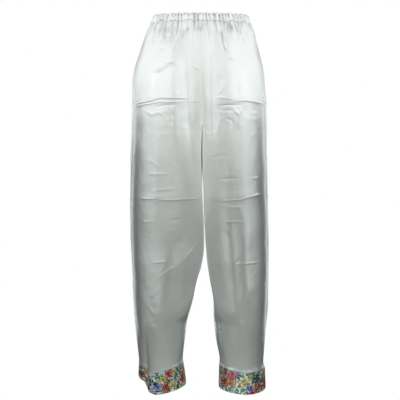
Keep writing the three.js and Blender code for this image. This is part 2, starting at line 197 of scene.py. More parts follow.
def room_light(shades):
    upper = room.between(upwards, *CENTRE_FALL)
    dip = room.between(sideways, *FRONT_DIP)
    centre = share_out(dip, share_out(upper, shades["low_centre"], shades["centre"]),
                       share_out(upper, shades["low_front"], shades["front"]))
    begin = share_out(room.between(upwards, *ASIDE["rise"]), ASIDE["low"], ASIDE["high"])
    level = share_out(room.between(backwards, begin, ASIDE["end"]), centre, shades["side"])
    low = share_out(room.between(backwards, *shades["turn"]), level, shades["behind"])
    in_gap = room.math("MULTIPLY", room.between(sideways, *GAP_FROM), room.between(upwards, *GAP_RISE))
    front = share_out(in_gap, share_out(dip, shades["high"], shades["high_front"]), shades["gap"])
    high = share_out(room.between(backwards, *shades["high_turn"]), front, shades["behind_high"])
    turned = room.between(backwards, *SIDE_SHIFT["turn"])
    height = room.math("SUBTRACT", upwards, room.math("MULTIPLY", turned, SIDE_SHIFT["height"]))
    return share_out(room.between(height, *shades["rise"]), low, high)


in_sheen = room.add("ShaderNodeLightPath").outputs["Is Glossy Ray"]
strength = share_out(in_sheen, room_light(SOFT_ROOM), room_light(SHEEN_ROOM))
tint = room.mix(room.between(upwards, *TINT_RISE), *ROOM_TINT)
soft = room.add("ShaderNodeBackground", Color=tint, Strength=strength)
paper = room.add("ShaderNodeBackground", Color=PAPER_WHITE, Strength=1.0)
room.add("ShaderNodeOutputWorld", Surface=room.white_to_camera(soft, paper))

bpy.ops.mesh.primitive_plane_add(size=FLOOR_SIZE, location=(0, 0, FLOOR_LEVEL))
floor = bpy.context.object
floor.name = "floor"
floor_paint, paint = new_material("floor_paint")
matt = paint.add("ShaderNodeBsdfDiffuse", Color=FLOOR_GREY)
white = paint.add("ShaderNodeEmission", Color=PAPER_WHITE, Strength=1.0)
paint.add("ShaderNodeOutputMaterial", Surface=paint.white_to_camera(matt, white))
floor.data.materials.append(floor_paint)

# A nearly black flag hangs before the legs, and only the sheen sees it: it greys the cloth beside the gap
# and down the calves.
FLAG_PLACE = -0.42
FLAG_SHADE = 0.06
FLAG_OUTLINE = ((-0.02, -0.13), (0.012, -0.13), (0.02, -0.25), (0.05, -0.4), (0.055, -0.5), (0.115, -0.6),
                (0.12, -0.7), (0.06, -0.84), (-0.04, -0.84), (-0.06, -0.68), (-0.024, -0.5), (-0.05, -0.27),
                (-0.05, -0.2))
flag_mesh = bpy.data.meshes.new("flag")
flag_mesh.from_pydata([(x, FLAG_PLACE, z) for x, z in FLAG_OUTLINE], [], [tuple(range(len(FLAG_OUTLINE)))])
flag = bpy.data.objects.new("flag", flag_mesh)
scene.collection.objects.link(flag)
flag.visible_camera = False
flag.visible_diffuse = False
flag.visible_shadow = False
flag.visible_transmission = False
flag_cloth, black = new_material("flag_cloth")
glow = black.add("ShaderNodeEmission", Strength=FLAG_SHADE)
black.add("ShaderNodeOutputMaterial", Surface=glow.outputs[0])
flag_mesh.materials.append(flag_cloth)

# The four leg panels. Each is cut in one piece of light white satin from the waist to the band, drawn up in
# gathers at the casing, and sewn to its neighbours at the side, the inside leg and the centre seams. The
# back panels wrap a little to the front at both seams. Folds from packing lie across the thighs and knees.
CLOTH = 0.5
CASING_HEIGHT = 20
BAND_HEIGHT = 56
SEAM_GAP = 0.05
CROTCH = -283
SECTION_POWER = 2.2
TINY = 1e-9
WAIST_TILT = {"rise": 0.105, "end": -215, "fade": 200}
VALLEY = {"height": 300, "ease": 0.1, "fade": 70}
INSIDE_LEG = {"gap": 1.8, "end": -560, "fade": 60}
PRESSED = {"power": 200.0, "start": -50, "rise": 130, "end": -800, "fall": 420, "hollow": 0.05,
           "closer": 1.7, "fade": 90}
CORNER = {"near": 0.5, "share": 0.95, "above": (-200, 40), "below": (-300, 180), "crowd": 3, "width": 0.015,
          "latest": 0.998, "steps": 1200}
SWAY = {"height": 1.6, "wave": 30, "reach": 16, "end": -455}
SECTION_NAMES = ("z", "rightOut", "rightIn", "leftIn", "leftOut", "front", "back")
SECTIONS = (
    (30, -113, 0, 0, 114, -82, 84),
    (16, -118, 0, 0, 120, -86, 88),
    (-4, -125.5, 1, 1, 129.5, -92, 95),
    (-24, -136, 2, 2, 139.5, -98, 104),
    (-49, -146, 3, 3, 147, -104, 113),
    (-89, -158.5, 5, 5, 156, -110, 124),
    (-129, -171, 6, 6, 165, -115, 132),
    (-169, -177, 6, 6, 170, -117, 136),
    (-216, -178.5, 6, 6, 174.5, -117, 136.5),
    (-283, -181, 6, 6, 177, -115, 131.5),
    (-367, -184.5, 5, 7, 178, -111, 122),
    (-447, -186, 6, 9, 179, -106, 112),
    (-526, -185.5, 9.5, 11, 181, -100, 103),
    (-604, -183, 10, 15.5, 182, -93, 94),
    (-645, -181, 4, 19.5, 182, -90, 91),
    (-685, -178.5, -8, 25.5, 181.5, -86, 88),
    (-738, -177, -18.5, 34.5, 180.5, -81, 84),
    (-791, -173, -32, 36, 177, -75, 79),
    (-844, -167.5, -39.5, 42, 172, -69, 73),
    (-897, -161.5, -45.5, 52, 168, -63, 67),
    (-924, -161.5, -41.5, 51, 171, -62, 66),
    (-984, -163, -36, 50, 173, -63, 68),
)
SEAM_NAMES = ("z", "rightSide", "leftSide", "rightInside", "leftInside")
SEAM_LINES = (
    (30, 8, 8, 0, 0),
    (-94, 20, 20, 0, 0),
    (-216, 26, 26, 0, 0),
    (-283, 26, 26, 0, 0),
    (-394, 24, 24, 10, 2),
    (-526, 21, 21, 30, 4),
    (-684, 18, 18, 31, 12),
    (-794, 15, 15, 25, 38),
    (-984, 12, 12, 24, 32),
)
BAND_TILT = {"start": -740, "fade": 160}
HEM_POINT = {"out": 0.24, "round": 0.1}
FLAP = {"from": 0.66, "fade": 0.12, "behind": 0.8}
SIDES = {"right": -1, "left": 1}
BANDS = {
    "right": {"seam": -903, "outerRise": 1, "frontRise": -6, "hemOuterRise": 3, "point": -18, "flap": 18},
    "left": {"seam": -914, "outerRise": -3, "frontRise": -6, "hemOuterRise": -1, "point": -5, "flap": 0},
}
FOLDS = {
    "front": (
        ((-5, 20), (0, -110), 26, 4), ((50, 14), (62, -96), 9, -6), ((66, 16), (86, -80), 11, 5),
        ((102, 14), (126, -74), 8, -5), ((-30, 12), (-48, -66), 9, -4), ((-84, 14), (-104, -84), 11, 4),
        ((-70, -30), (-64, -340), 26, 5), ((66, -40), (80, -330), 28, 4.5),
        ((-38, -80), (-24, -330), 16, -5), ((26, -90), (32, -330), 15, -4.5),
        ((-176, -222), (-14, -218), 24, 1.6), ((26, -224), (170, -220), 24, 1.6),
        ((-165, -472), (-18, -470), 16, 1.4), ((40, -472), (170, -462), 16, 1.4),
        ((-6, -580), (-130, -730), 26, 0.4), ((-16, -530), (-96, -670), 22, -0.4),
        ((70, -420), (78, -680), 24, -4), ((112, -400), (128, -930), 22, 4),
        ((84, -600), (98, -940), 18, -4), ((-92, -640), (-114, -930), 20, 3.5),
        ((-141, -866), (-143, -1060), 9, -10),
    ),
    "back": (
        ((-70, -20), (-92, -260), 24, 5), ((64, -16), (84, -270), 24, 5),
        ((-30, -40), (-38, -230), 16, -5), ((34, -40), (44, -220), 16, -5),
        ((-22, -286), (-120, -400), 20, 5), ((28, -286), (122, -390), 20, 5),
        ((-60, -420), (-86, -740), 24, -4.5), ((112, -410), (104, -740), 24, -4.5),
        ((-172, -220), (170, -222), 24, 1.2), ((-130, -580), (-106, -900), 20, 4),
        ((134, -560), (110, -920), 20, 4),
    ),
    "rightSide": (
        ((10, -20), (20, -320), 22, 4), ((40, -340), (30, -820), 22, -4),
    ),
    "leftSide": (
        ((12, -20), (26, -320), 22, 4), ((44, -350), (34, -840), 22, -4),
    ),
}
GATHER_COUNT = {"front": 12, "back": 14}
GATHERS = {"depth": 2.2, "length": 46, "drift": 0.25, "driftWaves": 3}
UNEVEN_DEPTH = {"share": 0.25, "pace": 0.37, "start": 1.3}
UNEVEN_LENGTH = {"share": 0.45, "pace": 0.29, "shortest": 0.7}
FOLD_ENDS = 1.2
FOLD_TURN = 2.2
FOLDS_START = {"level": -12, "fade": 30}
SAMPLES = 360
TANGENT_REACH = 3

# Creases and small folds: the face that they lie on, the points that they pass through, half their
# width and their height. A front or back point is x and z, and a side point is y and z.
CREASES = {
    "front": (
        (((-120, -149), (-99, -149), (-92, -144), (-83, -137), (-68, -133), (-53, -136)), 3.4, 1.4),
        (((-74, -123), (-58, -123)), 3, 0.7), (((-99, -97), (-90, -84)), 4, -1.2),
        (((-58, -74), (-55, -65)), 3, -1), (((-66, -201), (-53, -214)), 3.4, 0.9),
        (((-94, -196), (-79, -199)), 3, 0.5),
        (((-166, -230), (-128, -226), (-99, -219), (-79, -221), (-30, -220)), 2.6, 1.3),
        (((-164, -236), (-125, -233), (-99, -229), (-79, -231), (-40, -229)), 2.6, 0.9),
        (((-25, -228), (-3, -228)), 3, 0.8), (((-119, -243), (-89, -239), (-58, -239)), 3.4, -0.7),
        (((-24, -132), (-20, -138), (0, -149)), 3.2, 0.8), (((-36, -161), (-37, -178)), 3, -0.7),
        (((49, -164), (56, -185)), 4, -1.1), (((67, -120), (90, -130)), 3, 1),
        (((72, -142), (80, -147)), 3, -0.8), (((43, -139), (49, -133)), 3, -0.7),
        (((46, -211), (56, -195)), 3.2, 0.8), (((41, -219), (62, -220), (81, -223)), 2.6, 1.2),
        (((86, -229), (115, -226), (164, -229)), 2.6, 1.3),
        (((48, -240), (71, -238), (101, -238)), 3, -1.3), (((51, -252), (86, -251)), 3, -0.9),
        (((86, -249), (99, -263), (92, -294)), 3.4, 2.2), (((107, -243), (97, -265)), 3, 1.7),
        (((41, -258), (48, -272), (46, -306)), 3.6, 1.4),
        (((-138, -250), (-122, -262), (-104, -256), (-88, -268)), 3.2, 1.2),
        (((-80, -246), (-70, -262), (-74, -290)), 3.2, -1.1),
        (((60, -268), (84, -280), (78, -304)), 3.2, -1.1), (((99, -190), (95, -211)), 3.6, -1.1),
        (((-84, -341), (-50, -384), (-36, -398)), 3, 0.45),
        (((-140, -375), (-123, -379), (-98, -400)), 2.8, 0.5), (((-68, -391), (-36, -402)), 3, 0.5),
        (((-132, -412), (-81, -412)), 2.8, 0.7), (((-124, -454), (-94, -452), (-61, -448)), 2.8, 0.6),
        (((-123, -453), (-112, -461), (-109, -475)), 2.8, 0.6), (((-152, -474), (-110, -475)), 2.4, 0.9),
        (((-104, -478), (-63, -477), (-8, -474)), 2.4, 1),
        (((53, -480), (102, -477), (115, -473), (158, -462)), 2.4, 1),
        (((28, -369), (68, -363)), 3.4, -0.8), (((51, -425), (101, -421)), 3, -0.7),
        (((129, -422), (155, -422)), 2.8, 0.7), (((97, -484), (105, -508), (112, -532)), 3, 0.7),
        (((61, -493), (107, -498)), 3, 0.6), (((60, -533), (109, -533)), 2.6, 0.7),
        (((-146, -534), (-120, -532)), 2.6, 0.7), (((-81, -531), (-41, -525)), 3, -0.5),
        (((66, -547), (82, -574)), 3.4, 0.6), (((-38, -627), (-10, -594)), 3.4, 0.8),
        (((-125, -638), (-81, -635)), 2.6, 0.7), (((-113, -682), (-63, -646)), 3, 0.4),
        (((-133, -750), (-115, -777)), 3.2, 0.6), (((90, -641), (148, -638)), 2.6, 0.7),
        (((58, -20), (58, -72), (67, -98)), 3.4, -3.2), (((92, -18), (104, -44), (118, -72)), 3, -3),
        (((103, -18), (112, -40), (124, -66)), 2.8, 2.2), (((112, -20), (121, -40), (134, -66)), 3, -2.8),
        (((22, -24), (24, -66)), 3, -2), (((30, -50), (27, -110)), 3.6, -1.8),
        (((46, -20), (53, -60)), 3, -2), (((-79, -20), (-90, -66)), 3, -2.6),
        (((-70, -24), (-82, -64)), 3, 1.9), (((-48, -20), (-45, -52)), 2.8, -2),
        (((-38, -48), (-25, -24)), 2.8, -2.2), (((-2, -24), (5, -56)), 2.6, -1.5),
        (((12, -40), (15, -86)), 3, -1), (((-58, -62), (-68, -100)), 3.4, -1.6),
        (((-106, -24), (-122, -78)), 3.2, -2), (((-118, -26), (-134, -62)), 3, 1.6),
    ),
    "back": (
        (((-128, -132), (-92, -140), (-58, -133)), 3.6, 1.2),
        (((56, -128), (90, -138), (132, -134)), 3.6, 1.1),
        (((-166, -228), (-120, -222), (-60, -224), (-14, -220)), 2.8, 1.3),
        (((18, -221), (76, -226), (124, -221), (164, -228)), 2.8, 1.3),
        (((-150, -238), (-96, -233), (-50, -235)), 2.8, 0.9),
        (((40, -233), (92, -236), (150, -233)), 2.8, 0.9),
        (((-30, -296), (-70, -330), (-98, -372)), 3.8, 1.3),
        (((34, -296), (72, -322), (104, -366)), 3.8, 1.3), (((-46, -318), (-96, -342)), 3.4, -0.9),
        (((48, -312), (92, -330)), 3.4, -0.9), (((-150, -476), (-96, -472), (-30, -474)), 2.6, 1),
        (((34, -470), (92, -475), (156, -468)), 2.6, 1), (((-138, -520), (-86, -532)), 3, 0.7),
        (((62, -526), (124, -518)), 3, 0.7), (((-134, -604), (-60, -622)), 3.4, 0.8),
        (((70, -612), (138, -600)), 3.4, 0.8), (((-64, -26), (-72, -92)), 3.2, -1.8),
        (((70, -24), (80, -88)), 3.2, -1.7), (((-106, -26), (-118, -74)), 3, 1.4),
        (((22, -26), (26, -70)), 3, -1.5), (((-20, -28), (-26, -84)), 3, 1.3),
        (((112, -26), (124, -80)), 3, -1.4),
    ),
    "rightSide": (
        (((-62, -224), (0, -222), (70, -226)), 2.8, 1.2), (((-50, -474), (10, -470), (60, -476)), 2.6, 1),
        (((-40, -356), (16, -384)), 3.4, 0.9), (((-30, -634), (38, -628)), 2.8, 0.8),
        (((4, -28), (14, -96)), 3, -1.6), (((36, -26), (48, -84)), 3, 1.4),
    ),
    "leftSide": (
        (((-60, -226), (6, -221), (72, -224)), 2.8, 1.2), (((-46, -466), (14, -472), (62, -470)), 2.6, 1),
        (((-34, -372), (26, -352)), 3.4, 0.9), (((-28, -636), (40, -640)), 2.8, 0.8),
        (((8, -28), (16, -90)), 3, -1.6), (((-28, -28), (-22, -80)), 3, 1.4),
    ),
}
CREASE_END = 14
CREASE_CREST = 0.35
CREASE_SCALE = 1.15
CREASE_WIDTH = 0.58
CREASE_TIP = 0.25
CREASES_START = {"level": -14, "fade": 12}

# Rows and columns of a panel. The rows crowd together where the creases run across.
PANEL_ROWS = 396
PANEL_COLUMNS = 112
ROW_STEPS = 4000
ROW_CROWDS = ((-25, 40, 0.9), (-228, 16, 1.5), (-415, 8, 0.7), (-472, 14, 1.2), (-533, 8, 0.8),
              (-638, 8, 0.7))
DEGREE = math.pi / 180
MILLIMETRE = 0.001


def smooth(u):
    v = np.clip(u, 0, 1)
    return v * v * (3 - 2 * v)


# The running total of a line's steps, from nought.
def add_up(steps):
    return np.concatenate(([0.0], np.cumsum(steps)))


# A column of a table at the heights z, on a smooth curve through its rows.
def column_at(table, names, name, z):
    rows = np.array(table, dtype=float)
    levels = rows[:, 0]
    values = rows[:, names.index(name)]
    last = len(levels) - 1
    slopes = np.empty(last + 1)
    for k in range(last + 1):
        a, b = max(0, k - 1), min(last, k + 1)
        slopes[k] = (values[b] - values[a]) / (levels[b] - levels[a])
    z = np.asarray(z, dtype=float)
    i = np.clip(np.searchsorted(-levels, -z, side="left") - 1, 0, last - 1)
    run = levels[i + 1] - levels[i]
    u = np.clip((z - levels[i]) / run, 0, 1)
    return (values[i] * (1 + 2 * u) * (1 - u) ** 2 + slopes[i] * run * u * (1 - u) ** 2
            + values[i + 1] * u * u * (3 - 2 * u) + slopes[i + 1] * run * u * u * (u - 1))


# One leg's section at a level: from half a body over the casing to a whole leg below the crotch.
def section_at(leg, z):
    side = SIDES[leg]
    out = float(column_at(SECTIONS, SECTION_NAMES, leg + "Out", z))
    seam = float(column_at(SECTIONS, SECTION_NAMES, leg + "In", z)) + side * SEAM_GAP / 2
    above = max(0.0, (z - CROTCH) / VALLEY["height"])
    share = 1 - above * above / (above + VALLEY["ease"])
    share *= float(smooth((-CASING_HEIGHT / 2 - z) / VALLEY["fade"]))
    apart = float(smooth((CROTCH - z) / INSIDE_LEG["fade"])
                  * smooth((z - INSIDE_LEG["end"]) / INSIDE_LEG["fade"]))
    pressed = float(smooth((z - PRESSED["end"]) / PRESSED["fall"])
                    * smooth((PRESSED["start"] - z) / PRESSED["rise"]))
    inner = seam + side * (INSIDE_LEG["gap"] - PRESSED["closer"] * pressed) * apart / 2
    inner_power = SECTION_POWER + PRESSED["power"] * pressed
    centre = inner + share * (out - inner) / 2
    front = float(column_at(SECTIONS, SECTION_NAMES, "front", z))
    back = float(column_at(SECTIONS, SECTION_NAMES, "back", z))
    ratio = max(0.0, share) / (2 - share)
    cut = math.acos(-(ratio ** (SECTION_POWER / 2)))
    rest = max(TINY, 1 - ratio ** inner_power) ** (1 / inner_power)
    front_cut = math.pi / 2 + math.atan((ratio / rest) ** (SECTION_POWER / 2)) if ratio < 1 else math.pi
    inside = float(column_at(SEAM_LINES, SEAM_NAMES, leg + "Inside", z)) * DEGREE
    return {
        "side": side,
        "inner": inner,
        "inset": 0.0 if share < 1 else SEAM_GAP / 2,
        "innerPower": inner_power,
        "hollow": PRESSED["hollow"] * pressed,
        "centre": centre,
        "halfWidth": abs(out - centre),
        "middle": (front + back) / 2,
        "halfDepth": (back - front) / 2,
        "frontEnd": front_cut - inside,
        "sideSeam": float(column_at(SEAM_LINES, SEAM_NAMES, leg + "Side", z)) * DEGREE,
        "backEnd": -cut - inside,
    }


# Points at the given shares of the way along a section, each with the way out of the cloth.
def section_row(s, start, end, shares, insets=(0.0, 0.0), corner=None):
    angles = np.linspace(start, end, SAMPLES + 1)
    u = np.sign(np.cos(angles)) * np.abs(np.cos(angles)) ** (2 / SECTION_POWER)
    v = np.sign(np.sin(angles)) * np.abs(np.sin(angles)) ** (2 / SECTION_POWER)
    pressed = 1 / (np.abs(u) ** s["innerPower"] + np.abs(v) ** s["innerPower"]) ** (1 / s["innerPower"])
    pressed = np.where((u < 0) & (v > 0), pressed, 1.0)
    u, v = u * pressed, v * pressed
    v = np.where((u < 0) & (v > 0), v * (1 - s["hollow"] * u * u), v)
    x = s["centre"] + s["side"] * s["halfWidth"] * u
    y = s["middle"] - s["halfDepth"] * v
    along = add_up(np.hypot(np.diff(x), np.diff(y)))
    length = along[-1] - insets[0] - insets[1]
    if corner is not None:
        towards = s["side"] * (s["inner"] - x)
        reached = int(np.argmax(towards > -CORNER["near"]))
        share = (-CORNER["near"] - towards[reached - 1]) / (towards[reached] - towards[reached - 1])
        turned = along[reached - 1] + share * (along[reached] - along[reached - 1])
        natural = min(CORNER["latest"], (turned - insets[0]) / length) if reached else corner[0]
        bend = corner[0] + (natural - corner[0]) * corner[1]
        even = np.linspace(0, 1, CORNER["steps"])
        crowd = 1 + CORNER["crowd"] * np.exp(-(((even - bend) / CORNER["width"]) ** 2))
        run = add_up((crowd[1:] + crowd[:-1]) / 2)
        shares = np.interp(shares * run[-1], run, even)
        shares = np.interp(shares, (0, bend, 1), (0, natural, 1))
    at = insets[0] + length * shares
    k = np.clip(np.searchsorted(along, at, side="left"), 1, SAMPLES)
    a = np.maximum(0, k - TANGENT_REACH)
    b = np.minimum(SAMPLES, k + TANGENT_REACH - 1)
    across = np.stack((x[b] - x[a], y[b] - y[a]))
    across /= np.hypot(*across)
    turn = s["side"] if end > start else -s["side"]
    return np.interp(at, along, x), np.interp(at, along, y), -turn * across[1], turn * across[0], at


def height_of(leg, s, x, y, level):
    waist = float(smooth((level - WAIST_TILT["end"]) / WAIST_TILT["fade"]))
    hem = float(smooth((BAND_TILT["start"] - level) / BAND_TILT["fade"]))
    band = BANDS[leg]
    down = float(smooth((band["seam"] - level) / BAND_HEIGHT))
    outer = band["outerRise"] + (band["hemOuterRise"] - band["outerRise"]) * down
    outward = s["side"] * (x - s["centre"]) / s["halfWidth"]
    forward = (s["middle"] - y) / s["halfDepth"]
    from_point = np.hypot(outward - HEM_POINT["out"], HEM_POINT["round"])
    pointed = np.maximum(0, forward) * (1 - from_point / (1 + HEM_POINT["out"]))
    flap = band["flap"] * down * smooth((outward - FLAP["from"]) / FLAP["fade"])
    flap = flap * smooth((forward + FLAP["behind"]) / FLAP["behind"])
    tilt = outer * outward + band["frontRise"] * forward + band["point"] * pointed + flap
    return level + waist * WAIST_TILT["rise"] * y + hem * tilt


# The faces that a leg shows, each with the place across it and how squarely the cloth lies in it.
def faces_of(leg, x, y, nx, ny):
    for face, across, squarely in (("front", x, -ny), ("back", x, ny), (leg + "Side", y, SIDES[leg] * nx)):
        yield face, across, smooth(np.maximum(0, squarely) * FOLD_TURN)


def fold_lift(leg, x, y, z, nx, ny):
    lift = np.zeros_like(x)
    for face, across, shown in faces_of(leg, x, y, nx, ny):
        for start, end, half_width, height in FOLDS[face]:
            run = np.subtract(end, start).astype(float)
            length = np.hypot(*run)
            dp, dz = across - start[0], z - start[1]
            from_middle = 2 * (dp * run[0] + dz * run[1]) / length ** 2 - 1
            off = (dp * run[1] - dz * run[0]) / length
            profile = 1 / (1 + (off / half_width) ** 2) ** 2
            lift += height * profile * np.exp(-FOLD_ENDS * from_middle ** 2) * shown
    return lift


# How far each place is from a crease's line, and how far along the line it lies, with the line's length.
def crease_places(points, across, z):
    line = np.array(points, dtype=float)
    steps = np.hypot(*np.diff(line, axis=0).T)
    near = np.full_like(across, np.inf)
    place = np.zeros_like(across)
    done = 0.0
    for a, b, step in zip(line[:-1], line[1:], steps):
        u = np.clip(((across - a[0]) * (b[0] - a[0]) + (z - a[1]) * (b[1] - a[1])) / step ** 2, 0, 1)
        off = np.hypot(across - a[0] - u * (b[0] - a[0]), z - a[1] - u * (b[1] - a[1]))
        closer = off < near
        near = np.where(closer, off, near)
        place = np.where(closer, done + u * step, place)
        done += step
    return near, place, steps.sum()


# How far the creases lift the cloth. Each dies away at both ends of its line.
def crease_lift(leg, x, y, z, nx, ny):
    lift = np.zeros_like(x)
    for face, across, shown in faces_of(leg, x, y, nx, ny):
        for points, half_width, height in CREASES[face]:
            near, place, total = crease_places(points, across, z)
            ends = smooth(np.minimum(place, total - place) / min(CREASE_END, total / 2))
            taper = CREASE_TIP + (1 - CREASE_TIP) * ends
            crest = np.exp(CREASE_CREST - np.hypot(near / (half_width * CREASE_WIDTH), CREASE_CREST))
            lift += CREASE_SCALE * height * taper * crest * shown
    return lift


PINCH = {"round": 0.01, "drop": 1.2}
HILLS = {"count": 64, "start": (17.3, 31.7)}


# A wave with round tops and narrow valleys, as drawn-up cloth has.
def pinched(phase):
    return 2 * np.sqrt(np.sin(phase / 2) ** 2 + PINCH["round"]) - PINCH["drop"]


def gather_height(across, count, below):
    drift = across + GATHERS["drift"] / count * np.sin(2 * math.pi * across * GATHERS["driftWaves"])
    phase = 2 * math.pi * count * drift + math.pi
    depth = 1 + UNEVEN_DEPTH["share"] * (np.sin(phase * UNEVEN_DEPTH["pace"] + UNEVEN_DEPTH["start"]) - 1)
    wander = np.sin(phase * UNEVEN_LENGTH["pace"] + count)
    length = UNEVEN_LENGTH["shortest"] + UNEVEN_LENGTH["share"] * wander
    fade = np.exp(-((below / (GATHERS["length"] * length)) ** 2))
    return GATHERS["depth"] * depth * fade * pinched(phase)


# Small uneven waves in the cloth: smooth random hills on a lattice, always the same for the same seed.
def rumple(u, v, size_u, size_v, seed):
    count = HILLS["count"]
    hills = np.random.RandomState(seed).uniform(-1, 1, (count, count))
    pu, pv = u / size_u + HILLS["start"][0], v / size_v + HILLS["start"][1]
    iu, iv = np.floor(pu).astype(int), np.floor(pv).astype(int)
    fu, fv = smooth(pu - iu), smooth(pv - iv)

    def hill(a, b):
        return hills[a % count, b % count]

    low = hill(iu, iv) * (1 - fu) + hill(iu + 1, iv) * fu
    high = hill(iu, iv + 1) * (1 - fu) + hill(iu + 1, iv + 1) * fu
    return low * (1 - fv) + high * fv


# The same hills along one line, which is the given row of the lattice.
def ripple(along, size, lane, seed):
    return rumple(along, along * 0 + lane, size, 1, seed)


# Nought at the two seams of a panel's row, and one from the given reach inwards.
def off_seams(at, reach):
    return smooth(np.minimum(at, at[..., -1:] - at) / reach)


# A thin shell from rows of outer and inner points. A ring's rows join end to end.
def build_shell(name, outer, inner, flat_place, is_ring):
    rows, columns = outer.shape[:2]
    points = np.concatenate((outer.reshape(-1, 3), inner.reshape(-1, 3))) * MILLIMETRE
    index = np.arange(rows * columns).reshape(rows, columns)
    right = np.roll(index, -1, axis=1) if is_ring else index[:, 1:]
    left = index if is_ring else index[:, :-1]
    quads = np.stack((left[:-1], right[:-1], right[1:], left[1:]), axis=-1).reshape(-1, 4)
    inside = rows * columns
    faces = [quads, quads[:, ::-1] + inside]
    for edge, flip in ((0, False), (rows - 1, True)):
        a, b = left[edge], right[edge]
        strip = np.stack((b, a, a + inside, b + inside), axis=-1)
        faces.append(strip[:, ::-1] if flip else strip)
    if not is_ring:
        for edge, flip in ((0, True), (columns - 1, False)):
            a, b = index[:-1, edge], index[1:, edge]
            strip = np.stack((b, a, a + inside, b + inside), axis=-1)
            faces.append(strip[:, ::-1] if flip else strip)
    faces = np.concatenate(faces)
    corners = points[faces]
    volume = np.einsum("ij,ij->i", corners[:, 0], np.cross(corners[:, 1], corners[:, 2])).sum()
    volume += np.einsum("ij,ij->i", corners[:, 0], np.cross(corners[:, 2], corners[:, 3])).sum()
    if volume < 0:
        faces = faces[:, ::-1]
    mesh = bpy.data.meshes.new(name)
    mesh.from_pydata(points.tolist(), [], faces.tolist())
    mesh.polygons.foreach_set("use_smooth", np.arange(len(faces)) < 2 * len(quads))
    place = np.concatenate((flat_place.reshape(-1, 2), flat_place.reshape(-1, 2))) * MILLIMETRE
    layer = mesh.uv_layers.new(name="cloth")
    layer.data.foreach_set("uv", place[faces.reshape(-1)].reshape(-1))
    mesh.update()
    piece = bpy.data.objects.new(name, mesh)
    scene.collection.objects.link(piece)
    return piece


PANEL_SEEDS = {"front_right": 0, "front_left": 20, "back_right": 40, "back_left": 60}
SEAM_WANDER = {"size": 8, "height": 4.2, "reach": 12, "still": 8}
PUCKER = {"reach": 6, "depth": 0.3, "wave": 11, "dip": 0.6, "dipReach": 3.2, "drift": 3, "driftSize": 40,
          "inside": {"front": 1.0, "back": 2.2}}
RISE_SEAM = {"from": -150, "fade": 90, "depth": 0.35, "end": 20}
RUMPLES_REST = {"top": 25, "bottom": 12}
RUMPLES = (
    {"size": (46, 60), "height": 0.8, "seed": 3},
    {"size": (20, 34), "height": 0.32, "seed": 5},
    {"size": (9, 14), "height": 0.1, "seed": 8},
)
THIGH_RUMPLES = {"from": -205, "to": -350, "fade": 60, "size": (22, 18), "height": 0.34, "seed": 12,
                 "turn": 1.6, "edge": 0.5, "middle": 0.5}
HIP_CREASES = {"from": -70, "fade": 30, "to": -205, "fall": 25, "more": 0.45}
END_PUCKER = {"size": 4, "height": 0.8, "reach": 4.5, "roll": 0.7}
FINE_GATHERS = {"count": 1.33, "height": 2.15, "length": 34, "still": 7, "bend": 2.2, "bendPace": 19,
                "spacing": 1.8, "spacingSize": 19, "uneven": 0.5, "unevenSize": 13,
                "shortest": 0.75, "longer": 0.6, "longerSize": 10}


# The small close gathers that the casing and the cloth under it share: their wave, their strength and how
# far down each one runs.
def fine_gathers(shares, at, count, seed):
    fine = FINE_GATHERS
    spacing = ripple(at, fine["spacingSize"], 2.5, seed + 7)
    phase = 2 * math.pi * count * fine["count"] * shares
    phase = phase + fine["bend"] * np.sin(fine["bendPace"] * shares + seed) + fine["spacing"] * spacing
    strength = 1 + fine["uneven"] * ripple(at, fine["unevenSize"], 7.5, seed + 9)
    longer = fine["longer"] * ripple(at, fine["longerSize"], 3.5, seed + 11)
    return phase, strength, fine["length"] * (fine["shortest"] + longer)


# How far the gathers push the casing's seam up or down, which the panel and the casing share.
def seam_wander(at, seed, from_seam):
    still = off_seams(at, SEAM_WANDER["still"])
    wave = ripple(at, SEAM_WANDER["size"], 4.5, seed + 6)
    return SEAM_WANDER["height"] * still * wave * np.exp(-((from_seam / SEAM_WANDER["reach"]) ** 2))


